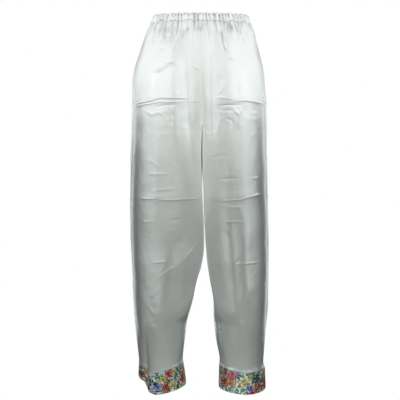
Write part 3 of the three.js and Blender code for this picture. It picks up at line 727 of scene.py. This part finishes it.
# The cloth of one panel: the folds and gathers of its form, then creases, seam puckers and small rumples.
def panel_shell(leg, face):
    start = -(CASING_HEIGHT + SEAM_GAP) / 2
    end = BANDS[leg]["seam"] + SEAM_GAP / 2
    even = np.linspace(start, end, ROW_STEPS)
    crowd = np.ones_like(even)
    for level, spread, extra in ROW_CROWDS:
        crowd += extra * np.exp(-(((even - level) / spread) ** 2))
    run = add_up((crowd[1:] + crowd[:-1]) / 2)
    levels = np.interp(np.linspace(0, run[-1], PANEL_ROWS), run, even)
    shares = np.linspace(0, 1, PANEL_COLUMNS)
    gathers = GATHER_COUNT[face]
    seed = PANEL_SEEDS[face + "_" + leg]
    x, y, z, nx, ny, at = (np.empty((PANEL_ROWS, PANEL_COLUMNS)) for _ in range(6))
    limit = np.empty((PANEL_ROWS, 1))
    (top, fade), (low, fall) = CORNER["above"], CORNER["below"]
    for row, level in enumerate(levels):
        s = section_at(leg, level)
        insets = (SEAM_GAP / 2, s["inset"])
        natural = float(smooth((level - top) / fade) + smooth((low - level) / fall))
        corner = (CORNER["share"], natural)
        row_places = section_row(s, s["sideSeam"], s[face + "End"], shares, insets, corner)
        x[row], y[row], nx[row], ny[row], at[row] = row_places
        z[row] = height_of(leg, s, x[row], y[row], level)
        limit[row] = s["inner"]
    level = levels[:, None]
    below = -CASING_HEIGHT / 2 - level
    free = smooth((FOLDS_START["level"] - level) / FOLDS_START["fade"])
    rest = smooth(below / RUMPLES_REST["top"]) * smooth((level - end) / RUMPLES_REST["bottom"])
    shares = at[:1] / at[:1, -1:]
    lift = gather_height(shares, gathers, below)
    lift += free * fold_lift(leg, x, y, z, nx, ny)
    hip = HIP_CREASES
    at_hip = smooth((hip["from"] - level) / hip["fade"]) * smooth((level - hip["to"]) / hip["fall"])
    creased = smooth((CREASES_START["level"] - level) / CREASES_START["fade"])
    lift += creased * (1 + hip["more"] * at_hip) * crease_lift(leg, x, y, z, nx, ny)
    phase, strength, length = fine_gathers(shares, at[:1], gathers, seed)
    still = off_seams(at, FINE_GATHERS["still"])
    lift += still * FINE_GATHERS["height"] * strength * np.exp(-((below / length) ** 2)) * pinched(phase)
    for waves in RUMPLES:
        lift += rest * waves["height"] * rumple(at, z, *waves["size"], waves["seed"] + seed)
    thigh = THIGH_RUMPLES
    crumpled = smooth((thigh["from"] - level) / thigh["fade"])
    crumpled = crumpled * smooth((level - thigh["to"]) / thigh["fade"])
    ridged = 1 - 2 * np.abs(rumple(at, z, *thigh["size"], thigh["seed"] + seed))
    ahead = smooth(thigh["turn"] * np.maximum(0, -ny) - thigh["edge"]) + np.maximum(0, ny)
    lift += crumpled * ahead * thigh["height"] * (ridged - thigh["middle"])
    z = z + seam_wander(at, seed, below)
    puckered = ripple(at, END_PUCKER["size"], 1.5, seed + 14) + END_PUCKER["roll"]
    lift += END_PUCKER["height"] * puckered * np.exp(-(((level - end) / END_PUCKER["reach"]) ** 2))
    deeper = RISE_SEAM["depth"] * smooth((RISE_SEAM["from"] - level) / RISE_SEAM["fade"])
    on_rise = smooth((level - CROTCH) / RISE_SEAM["end"]) * (1 - deeper)
    drift = PUCKER["drift"] * rumple(at * 0, z, PUCKER["driftSize"], PUCKER["driftSize"], seed + 2)
    wave = np.sin(2 * math.pi * z / PUCKER["wave"] + drift)
    for from_seam, strength in ((at, 1.0), (at[:, -1:] - at, PUCKER["inside"][face] * (1 - on_rise))):
        lift += strength * rest * PUCKER["depth"] * wave * np.exp(-((from_seam / PUCKER["reach"]) ** 2))
        lift -= strength * rest * PUCKER["dip"] * np.exp(-((from_seam / PUCKER["dipReach"]) ** 2))
    side = SIDES[leg]
    touching = smooth((CROTCH - level) / PRESSED["fade"]) * smooth((level - SWAY["end"]) / PRESSED["fade"])
    touching = touching * np.exp(-(((x - limit) / SWAY["reach"]) ** 2))
    sway = SWAY["height"] * touching * np.cos(2 * math.pi * y / SWAY["wave"])
    outer, inner = (
        np.stack((side * np.maximum(side * (x + (lift - depth) * nx), side * limit) + sway,
                  y + (lift - depth) * ny, z), -1)
        for depth in (0, CLOTH)
    )
    flat_place = np.stack((at, np.broadcast_to(level, at.shape)), -1)
    return build_shell("satin_" + face + "_" + leg, outer, inner, flat_place, False)


# Satin weave: long floats down the cloth that catch the light, with a fine uneven crinkle. It gives a
# height in metres, and a tone that wanders a little over the cloth.
satin_weave = bpy.data.node_groups.new("satin_weave", "ShaderNodeTree")
for label in ("Thread Width", "Float Length", "Thread Height", "Crinkle Size", "Crinkle Height"):
    satin_weave.interface.new_socket(label, in_out="INPUT", socket_type="NodeSocketFloat")
satin_weave.interface.new_socket("Height", in_out="OUTPUT", socket_type="NodeSocketFloat")
satin_weave.interface.new_socket("Tone", in_out="OUTPUT", socket_type="NodeSocketFloat")
weave = NodeTable(satin_weave)
given = weave.add("NodeGroupInput")
place = weave.add("ShaderNodeTexCoord").outputs["Object"]
thread = weave.math("DIVIDE", 1.0, given.outputs["Thread Width"])
floats = weave.math("DIVIDE", 1.0, given.outputs["Float Length"])
stretch = weave.add("ShaderNodeCombineXYZ", X=thread, Y=thread, Z=floats)
threads = weave.add("ShaderNodeTexNoise", Scale=1.0, Detail=1.0,
                    Vector=weave.vector("MULTIPLY", place, stretch.outputs[0]).outputs[0])
crinkle = weave.add("ShaderNodeTexNoise", Vector=place, Detail=3.0, Roughness=0.55,
                    Scale=weave.math("DIVIDE", 1.0, given.outputs["Crinkle Size"]))
cloudy = weave.add("ShaderNodeTexNoise", Vector=place, Scale=14.0, Detail=2.0)
raised = weave.math("ADD", weave.math("MULTIPLY", threads.outputs["Fac"], given.outputs["Thread Height"]),
                    weave.math("MULTIPLY", crinkle.outputs["Fac"], given.outputs["Crinkle Height"]))
weave.add("NodeGroupOutput", Height=raised, Tone=cloudy.outputs["Fac"])


WEAVE = {"Thread_Width": 0.0003, "Float_Length": 0.0012, "Thread_Height": 0.00003}
SATIN_TONE = {"range": (0.3, 0.7), "rougher": 0.03}
SATIN_CRINKLE = 0.011
SATIN_ROUGHNESS = 0.235


# The weave in a material: its tone, and the way the cloth faces with its threads and crinkle.
def woven(table, crinkle_size, crinkle_height):
    group = table.add("ShaderNodeGroup", {"node_tree": satin_weave}, **WEAVE, Crinkle_Size=crinkle_size,
                      Crinkle_Height=crinkle_height)
    bump = table.add("ShaderNodeBump", Strength=1.0, Distance=1.0, Height=group.outputs["Height"])
    return group.outputs["Tone"], bump.outputs[0]


def satin(name, pale, deep, crinkle_height):
    material, table = new_material(name)
    cloudy, faced = woven(table, SATIN_CRINKLE, crinkle_height)
    tone = table.between(cloudy, *SATIN_TONE["range"])
    rough = table.math("ADD", SATIN_ROUGHNESS, table.math("MULTIPLY", tone, SATIN_TONE["rougher"]))
    cloth = table.add("ShaderNodeBsdfPrincipled", Roughness=rough, Normal=faced, Anisotropic=0.4,
                      Base_Color=table.mix(tone, deep, pale), Metallic=0.4, Specular_IOR_Level=0.7)
    table.add("ShaderNodeOutputMaterial", Surface=cloth.outputs[0])
    return material


SATIN_PALE = (0.765, 0.828, 0.80, 1.0)
SATIN_DEEP = (0.74, 0.808, 0.775, 1.0)
white_satin = satin("white_satin", SATIN_PALE, SATIN_DEEP, 0.0006)

for leg in ("right", "left"):
    for face in ("front", "back"):
        panel = panel_shell(leg, face)
        panel.data.materials.append(white_satin)
        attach(panel, "root")
        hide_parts(face + "_" + leg)

# The waist casing: a turned-over tunnel of the same satin, drawn in by a 20 mm elastic inside it. The
# elastic throws it into small close gathers, and its top edge stands up a little ruffled above the elastic.
CASING_CLOTH = 2.4
CASING_ROWS = 30
CASING_COLUMNS = 220
CASING_GATHERS = 0.75
CASING_FINE = 1.5
CASING_PROFILE = {"up": (0, 0.06, 0.2, 0.5, 0.8, 0.94, 1), "proud": (-0.2, 0.4, 0.9, 1.6, 1.4, 0.8, 0.0)}
CASING_WALL = {"up": (0, 0.35, 0.75, 0.93, 1), "share": (1, 1.29, 1.23, 0.95, 0.4)}
RUFFLE = {"start": 0.6, "height": 0.7, "rise": 1.2, "startWave": 1}
CASING_RUMPLE = {"size": (7, 5), "height": 0.5, "run": 9, "still": 6}
QUARTERS = (("right", "front", False), ("left", "front", True), ("left", "back", False),
            ("right", "back", True))


# The outside and the inside of the cloth in one row, from how far its outside stands out and its wall.
def cloth_row(x, y, z, nx, ny, lift, wall):
    return (np.stack((x + out * nx, y + out * ny, z), -1) for out in (lift, lift - wall))


def casing_rows():
    rows = []
    walls = []
    ups = np.linspace(0, 1, CASING_ROWS)
    for up in ups:
        level = (SEAM_GAP - CASING_HEIGHT) / 2 + (CASING_HEIGHT - SEAM_GAP / 2) * up
        proud = np.interp(up, CASING_PROFILE["up"], CASING_PROFILE["proud"])
        wall = CASING_CLOTH * np.interp(up, CASING_WALL["up"], CASING_WALL["share"])
        ruffled = float(smooth((up - RUFFLE["start"]) / (1 - RUFFLE["start"])))
        ring_outer, ring_inner = [], []
        for leg, face, towards_side in QUARTERS:
            s = section_at(leg, level)
            shares = np.linspace(0, 1, CASING_COLUMNS + 1)
            x, y, nx, ny, at = section_row(s, s["sideSeam"], s[face + "End"], shares)
            gathers = GATHER_COUNT[face]
            seed = PANEL_SEEDS[face + "_" + leg]
            phase, strength, length = fine_gathers(shares, at, gathers, seed)
            still = off_seams(at, CASING_RUMPLE["still"])
            lift = proud + CASING_GATHERS * gather_height(shares, gathers, 0)
            fine = FINE_GATHERS["height"] * (CASING_FINE + RUFFLE["height"] * ruffled)
            lift += still * fine * strength * pinched(phase)
            hills = rumple(at, at * 0 + CASING_RUMPLE["run"] * up, *CASING_RUMPLE["size"], seed + 4)
            lift += still * CASING_RUMPLE["height"] * hills
            wave = np.sin(phase * 0.5 + RUFFLE["startWave"] + seed)
            z = height_of(leg, s, x, y, level) + RUFFLE["rise"] * ruffled * still * wave
            z = z + seam_wander(at, seed, CASING_HEIGHT * up)
            outer, inner = cloth_row(x, y, z, nx, ny, lift, wall)
            order = slice(None, None, -1) if towards_side else slice(None)
            ring_outer.append(outer[order][:-1])
            ring_inner.append(inner[order][:-1])
        rows.append(np.concatenate(ring_outer))
        walls.append(np.concatenate(ring_inner))
    return np.array(rows), np.array(walls)


# How far round a closed row each of its points is, and then the whole way.
def along_ring(ring):
    return add_up(np.hypot(*(np.roll(ring, -1, axis=0) - ring)[:, :2].T))


def ring_place(rows):
    along = along_ring(rows[0])[:-1]
    down = rows[0, :, 2][None, :] - rows[:, :, 2]
    return np.stack((np.broadcast_to(along, down.shape), -down), -1)


casing_outer, casing_inner = casing_rows()
casing = build_shell("waist_elastic_casing", casing_outer, casing_inner, ring_place(casing_outer), True)
# The casing's satin is painted paler than the same satin of the panels: painted light, a lighter copy of
# one cloth.
CASING_PALE_LIT = (0.87, 0.925, 0.905, 1.0)
CASING_DEEP_LIT = (0.83, 0.885, 0.865, 1.0)
casing_satin = satin("casing_satin", CASING_PALE_LIT, CASING_DEEP_LIT, 0.0008)
casing.data.materials.append(casing_satin)
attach(casing, "root")
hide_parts("waist_casing")

# The hem bands: a strip of printed satin folded double, about 56 mm deep, sewn right sides together to the
# end of each leg and turned down. Its print is a garden of small blossoms and leaves on a pale mint ground.
BAND_CLOTH = 2.0
BAND_ROWS = 38
BAND_COLUMNS = 300
BAND_PROFILE = {"down": (0, 0.03, 0.12, 0.45, 0.85, 0.97, 1), "proud": (0.5, 1.1, 1.6, 2.2, 2.4, 2.1, 1.4)}
BAND_WALL = {"down": (0, 0.03, 0.9, 1), "share": (0.5, 1, 1, 0.5)}
BAND_WAVES = {"radius": 62, "slant": (20, -30), "middle": 0.3, "sewn": 0.35, "loose": 0.15,
              "sizes": (34, 13, 6), "heights": (1.1, 0.45, 0.15), "seed": 60}
PRINT_REPEAT = 400
PRINT_SHIFT = {"right": 0, "left": 200}


def band_rows(leg):
    outers, inners, places = [], [], []
    side = SIDES[leg]
    shares = np.linspace(0, 1, BAND_COLUMNS + 1)
    turn = 2 * math.pi * shares
    waves = BAND_WAVES
    for down in np.linspace(0, 1, BAND_ROWS):
        level = BANDS[leg]["seam"] - SEAM_GAP / 2 - BAND_HEIGHT * down
        s = section_at(leg, level)
        x, y, nx, ny, at = section_row(s, s["frontEnd"], s["frontEnd"] - 2 * math.pi, shares)
        z = height_of(leg, s, x, y, level)
        lift = np.interp(down, BAND_PROFILE["down"], BAND_PROFILE["proud"])
        lift = lift + fold_lift(leg, x, y, z, nx, ny)
        loose = waves["sewn"] + (1 - waves["sewn"]) * float(smooth(down / waves["loose"]))
        u = waves["radius"] * np.cos(turn) + down * waves["slant"][0]
        v = waves["radius"] * np.sin(turn) + down * waves["slant"][1]
        for i, (size, height) in enumerate(zip(waves["sizes"], waves["heights"])):
            lift += loose * height * (rumple(u, v, size, size, waves["seed"] + i) - waves["middle"])
        wall = BAND_CLOTH * np.interp(down, BAND_WALL["down"], BAND_WALL["share"])
        middle = np.interp(0, (x - s["centre"])[: BAND_COLUMNS // 2] * side, at[: BAND_COLUMNS // 2])
        outer, inner = cloth_row(x, y, z, nx, ny, lift, wall)
        outers.append(outer[:-1])
        inners.append(inner[:-1])
        across = side * (at - middle) + PRINT_SHIFT[leg]
        places.append(np.stack((across, np.full_like(across, -BAND_HEIGHT * down)), -1)[:-1])
    return np.array(outers), np.array(inners), np.array(places)


# One blossom or leaf of the print: where it covers the cloth, where its heart is, and how far out of it a
# place lies, which is one at its rim.
PETAL_RIM = (1.06, 0.94)
HEART_RIM = (0.28, 0.16)
blossom = bpy.data.node_groups.new("blossom", "ShaderNodeTree")
for label, kind in (("Place", "Vector"), ("Centre", "Vector"), ("Size", "Float"), ("Petals", "Float"),
                    ("Turn", "Float"), ("Depth", "Float"), ("Repeat", "Float")):
    blossom.interface.new_socket(label, in_out="INPUT", socket_type="NodeSocket" + kind)
for label in ("Cover", "Heart", "Outward"):
    blossom.interface.new_socket(label, in_out="OUTPUT", socket_type="NodeSocketFloat")
petal = NodeTable(blossom)
given = petal.add("NodeGroupInput")
off = petal.add("ShaderNodeSeparateXYZ",
                Vector=petal.vector("SUBTRACT", given.outputs["Place"], given.outputs["Centre"]).outputs[0])
half = petal.math("MULTIPLY", given.outputs["Repeat"], 0.5)
across = petal.math("WRAP", off.outputs["X"], half, petal.math("MULTIPLY", half, -1.0))
flat = petal.add("ShaderNodeCombineXYZ", X=across, Y=off.outputs["Y"])
reach = petal.vector("LENGTH", flat.outputs[0]).outputs["Value"]
angle = petal.math("ARCTAN2", off.outputs["Y"], across)
lobes = petal.math("COSINE", petal.math("ADD", petal.math("MULTIPLY", angle, given.outputs["Petals"]),
                                        given.outputs["Turn"]))
notch = petal.math("MULTIPLY", given.outputs["Depth"], petal.math("SUBTRACT", 1.0, lobes))
rim = petal.math("MULTIPLY", given.outputs["Size"], petal.math("SUBTRACT", 1.0, notch))
outward = petal.math("DIVIDE", reach, rim)
cover = petal.between(outward, *PETAL_RIM)
heart = petal.between(petal.math("DIVIDE", reach, given.outputs["Size"]), *HEART_RIM)
petal.add("NodeGroupOutput", Cover=cover, Heart=heart, Outward=outward)

# The print's paints, each pale and deep, and its chart: the middle of each motif across and down
# the band, its size, its kind and its paint. The right band's front has its middle at 0, the left's at 200.
PAINTS = {
    "mint": ((0.60, 0.84, 0.66), (0.22, 0.50, 0.38)),
    "red": ((0.86, 0.10, 0.07), (0.52, 0.015, 0.03)),
    "crimson": ((0.70, 0.05, 0.10), (0.36, 0.008, 0.03)),
    "maroon": ((0.36, 0.06, 0.07), (0.16, 0.02, 0.025)),
    "pink": ((0.90, 0.30, 0.36), (0.62, 0.07, 0.14)),
    "rust": ((0.60, 0.17, 0.04), (0.26, 0.03, 0.012)),
    "orange": ((0.85, 0.42, 0.12), (0.60, 0.20, 0.06)),
    "ochre": ((0.78, 0.56, 0.14), (0.50, 0.28, 0.05)),
    "cream": ((0.92, 0.93, 0.60), (0.66, 0.74, 0.36)),
    "lime": ((0.66, 0.78, 0.34), (0.36, 0.50, 0.16)),
    "khaki": ((0.66, 0.62, 0.24), (0.34, 0.36, 0.12)),
    "green": ((0.10, 0.32, 0.14), (0.03, 0.14, 0.07)),
    "dark": ((0.07, 0.13, 0.07), (0.025, 0.05, 0.03)),
    "teal": ((0.14, 0.42, 0.42), (0.05, 0.22, 0.26)),
    "sky": ((0.44, 0.68, 0.78), (0.16, 0.34, 0.56)),
    "blue": ((0.26, 0.36, 0.70), (0.07, 0.12, 0.36)),
    "navy": ((0.05, 0.07, 0.24), (0.015, 0.02, 0.09)),
    "lavender": ((0.58, 0.52, 0.76), (0.38, 0.32, 0.56)),
}
MOTIFS = (
    (-61, 5, 7, "leaf", "green"), (-61, 32, 14, "rose", "maroon"), (-46, 12, 7, "bud", "ochre"),
    (-38, 9, 6, "bud", "lavender"), (-34, 40, 6, "leaf", "maroon"), (-28, 26, 6, "leaf", "green"),
    (-22, 12, 6, "leaf", "mint"), (-9, 34, 13, "rose", "blue"), (-20, 48, 6, "bud", "lavender"),
    (-14, 28, 5, "bud", "navy"), (-8, 9, 6, "leaf", "teal"), (4, 6, 7, "leaf", "mint"),
    (-2, 21, 8, "daisy", "lime"),
    (8, 19, 7, "bud", "ochre"), (14, 39, 12, "rose", "rust"), (19, 25, 6, "leaf", "green"),
    (18, 51, 6, "bud", "maroon"), (32, 37, 10, "daisy", "khaki"), (22, 9, 10, "rose", "crimson"),
    (37, 8, 6, "bud", "khaki"), (42, 18, 6, "leaf", "green"), (37, 25, 5, "bud", "blue"),
    (61, 7, 8, "daisy", "teal"),
    (67, 30, 14, "rose", "red"), (46, 47, 6, "leaf", "dark"), (50, 30, 6, "leaf", "mint"),
    (84, 12, 9, "daisy", "pink"), (88, 38, 10, "rose", "sky"), (100, 26, 6, "leaf", "green"),
    (108, 46, 9, "daisy", "ochre"), (112, 10, 8, "rose", "blue"),
    (128, 5, 6, "leaf", "green"), (126, 14, 7, "bud", "rust"), (131, 26, 6, "leaf", "khaki"),
    (150, 8, 8, "rose", "maroon"), (146, 33, 14, "rose", "rust"), (171, 13, 14, "rose", "pink"),
    (170, 33, 10, "rose", "orange"), (168, 48, 9, "daisy", "sky"), (154, 47, 6, "leaf", "teal"),
    (188, 4, 5, "bud", "blue"), (191, 14, 8, "leaf", "green"), (206, 26, 16, "daisy", "cream"),
    (218, 12, 7, "bud", "lime"), (213, 4, 4, "leaf", "dark"), (235, 17, 12, "rose", "navy"),
    (228, 5, 6, "leaf", "green"), (256, 24, 8, "leaf", "green"), (240, 39, 12, "rose", "rust"),
    (217, 41, 10, "rose", "blue"), (209, 51, 6, "bud", "lavender"), (200, 44, 6, "leaf", "teal"),
    (225, 53, 7, "rose", "crimson"), (216, 55, 4, "bud", "pink"), (270, 10, 8, "daisy", "ochre"),
    (274, 36, 13, "rose", "red"), (292, 18, 9, "daisy", "cream"), (290, 46, 7, "leaf", "green"),
    (306, 34, 9, "rose", "blue"), (318, 12, 8, "rose", "pink"), (322, 46, 8, "daisy", "lime"),
)
MOTIF_KINDS = {"rose": (5, 0.10), "daisy": (7, 0.14), "bud": (3, 0.12), "leaf": (2, 0.24)}
MOTIF_SCALE = 1.2
MOTIF_TURN = 1.7
STROKES = {"wash": 1.2, "range": (0.75, 1.6), "deeper": 0.7}
GROUND_PAINT = (0.80, 0.86, 0.78, 1.0)
DARK_PAINT = (0.012, 0.045, 0.03, 1.0)
LIGHT_PAINT = (0.93, 0.98, 0.86, 1.0)
BLEED = {"scale": 0.16, "reach": 5.0}
WASH = {"scale": 0.11, "range": (0.35, 0.65)}
LEAFY = {"scale": 0.13, "range": (0.44, 0.36)}
SPRIGS = {"scale": 0.19, "range": (0.40, 0.30)}
FLECKS = {"scale": 0.16, "shade": (0.505, 0.46), "light": (0.57, 0.60), "over": 0.6}
SPOTS = {"scale": 0.33, "range": (0.585, 0.64, 0.0, 0.8)}


def printed_satin():
    material, table = new_material("printed_satin")

    def noise(at, scale, detail, output="Fac"):
        return table.add("ShaderNodeTexNoise", Vector=at, Scale=scale, Detail=detail).outputs[output]

    def dots(at, scale):
        return table.add("ShaderNodeTexVoronoi", Vector=at, Scale=scale).outputs["Distance"]

    cloth_place = table.add("ShaderNodeUVMap", {"uv_map": "cloth"}).outputs[0]
    flat = table.vector("SCALE", cloth_place)
    flat.inputs["Scale"].default_value = 1 / MILLIMETRE
    bleed = noise(flat.outputs[0], BLEED["scale"], 2.0, "Color")
    reach = BLEED["reach"]
    nudge = table.vector("MULTIPLY_ADD", bleed, (reach, reach, 0.0), (-reach / 2, -reach / 2, 0.0))
    place = table.vector("ADD", flat.outputs[0], nudge.outputs[0]).outputs[0]
    wash = noise(place, WASH["scale"], 3.0)
    pale, deep = PAINTS["mint"]
    colour = table.mix(table.between(wash, *WASH["range"]), GROUND_PAINT, (*pale, 1.0))
    colour = table.mix(table.between(dots(place, LEAFY["scale"]), *LEAFY["range"]), colour, (*deep, 1.0))
    sprigs = table.between(dots(place, SPRIGS["scale"]), *SPRIGS["range"])
    colour = table.mix(sprigs, colour, (*PAINTS["green"][0], 1.0))
    flecks = table.add("ShaderNodeSeparateColor", Color=noise(place, FLECKS["scale"], 2.0, "Color"))
    shade = table.between(flecks.outputs["Red"], *FLECKS["shade"])
    colour = table.mix(shade, colour, DARK_PAINT)
    colour = table.mix(table.between(flecks.outputs["Green"], *FLECKS["light"]), colour, LIGHT_PAINT)
    for i, (across, down, size, kind, paint) in enumerate(MOTIFS):
        petals, depth = MOTIF_KINDS[kind]
        motif = table.add("ShaderNodeGroup", {"node_tree": blossom}, Place=place,
                          Centre=(across, -down, 0.0), Size=MOTIF_SCALE * size, Petals=float(petals),
                          Turn=MOTIF_TURN * i, Depth=depth, Repeat=float(PRINT_REPEAT))
        pale, deep = PAINTS[paint]
        stroke = table.math("ADD", motif.outputs["Outward"], table.math("MULTIPLY", wash, STROKES["wash"]))
        dark = tuple(STROKES["deeper"] * part for part in deep)
        petals_paint = table.mix(table.between(stroke, *STROKES["range"]), (*dark, 1.0), (*pale, 1.0))
        colour = table.mix(motif.outputs["Cover"], colour, petals_paint)
        if kind in ("rose", "daisy"):
            centre_paint = PAINTS["ochre"][0] if kind == "daisy" else deep
            colour = table.mix(motif.outputs["Heart"], colour, (*centre_paint, 1.0))
    colour = table.mix(table.math("MULTIPLY", shade, FLECKS["over"]), colour, DARK_PAINT)
    spots = table.between(noise(place, SPOTS["scale"], 2.0), *SPOTS["range"])
    colour = table.mix(spots, colour, LIGHT_PAINT)
    cloth = table.add("ShaderNodeBsdfPrincipled", Roughness=0.42, Normal=woven(table, 0.008, 0.0008)[1],
                      Base_Color=colour, Specular_IOR_Level=0.1)
    table.add("ShaderNodeOutputMaterial", Surface=cloth.outputs[0])
    return material


print_cloth = printed_satin()
band_faces = {}
for leg in ("right", "left"):
    outer, inner, flat_place = band_rows(leg)
    band_faces[leg] = outer
    band = build_shell("printed_band_" + leg, outer, inner, flat_place, True)
    band.data.materials.append(print_cloth)
    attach(band, "root")
    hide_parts("hem_band_" + leg)

# The stitching: white polyester thread in lockstitch, longer than a machine's so that it shows. One row
# closes the casing below the elastic, and one runs round each band just under its seam.
STITCH = {"pitch": 4.6, "length": 3.4, "thick": 0.34, "sink": 0.22, "proud": 0.6, "tip": 0.06}
STITCH_SIDES = 6
STITCH_RINGS = 5


def stitch_row(name, outer, row):
    ring = outer[row]
    along = along_ring(ring)
    closed = np.concatenate((ring, ring[:1]))
    count = int(along[-1] / STITCH["pitch"])
    middles = (np.arange(count) + 0.5) * along[-1] / count
    heart = ring.mean(axis=0)
    points, faces = [], []
    for middle in middles:
        base = len(points)
        for i in range(STITCH_RINGS):
            t = 2 * i / (STITCH_RINGS - 1) - 1
            at = (middle + t * STITCH["length"] / 2) % along[-1]
            here, ahead = (np.array([np.interp(place % along[-1], along, closed[:, k]) for k in range(3)])
                           for place in (at, at + 1))
            way = ahead - here
            way /= np.linalg.norm(way)
            out = np.array((way[1], -way[0], 0))
            out *= np.sign(out @ (here - heart)) / np.linalg.norm(out)
            rise = np.cross(out, way)
            radius = STITCH["thick"] * math.sqrt(max(STITCH["tip"], 1 - t ** 4))
            lift = STITCH["thick"] * STITCH["proud"] - STITCH["sink"] * t * t
            for j in range(STITCH_SIDES):
                turn = 2 * math.pi * j / STITCH_SIDES
                offset = out * (lift + radius * math.cos(turn)) + rise * radius * math.sin(turn)
                points.append(((here + offset) * MILLIMETRE).tolist())
        for i in range(STITCH_RINGS - 1):
            for j in range(STITCH_SIDES):
                a, b = base + i * STITCH_SIDES + j, base + i * STITCH_SIDES + (j + 1) % STITCH_SIDES
                faces.append((a, b, b + STITCH_SIDES, a + STITCH_SIDES))
        faces.append(tuple(base + j for j in reversed(range(STITCH_SIDES))))
        faces.append(tuple(base + (STITCH_RINGS - 1) * STITCH_SIDES + j for j in range(STITCH_SIDES)))
    mesh = bpy.data.meshes.new(name)
    mesh.from_pydata(points, [], faces)
    mesh.polygons.foreach_set("use_smooth", np.ones(len(faces), dtype=bool))
    mesh.update()
    piece = bpy.data.objects.new(name, mesh)
    scene.collection.objects.link(piece)
    return piece


thread_paint, thread = new_material("white_thread")
strand = thread.add("ShaderNodeTexNoise", Scale=900.0,
                    Vector=thread.add("ShaderNodeTexCoord").outputs["Object"])
twist = thread.add("ShaderNodeBump", Strength=1.0, Distance=0.0001, Height=strand.outputs["Fac"])
spun = thread.mix(strand.outputs["Fac"], (0.74, 0.76, 0.74, 1.0), (0.88, 0.89, 0.87, 1.0))
polyester = thread.add("ShaderNodeBsdfPrincipled", Roughness=0.45, Normal=twist.outputs[0], Base_Color=spun)
thread.add("ShaderNodeOutputMaterial", Surface=polyester.outputs[0])
STITCH_ROWS = {
    "stitching_casing": (casing_outer, 3),
    "stitching_band_right": (band_faces["right"], 2),
    "stitching_band_left": (band_faces["left"], 2),
}
for name, (outer, row) in STITCH_ROWS.items():
    stitching = stitch_row(name, outer, row)
    stitching.data.materials.append(thread_paint)
    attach(stitching, "root")
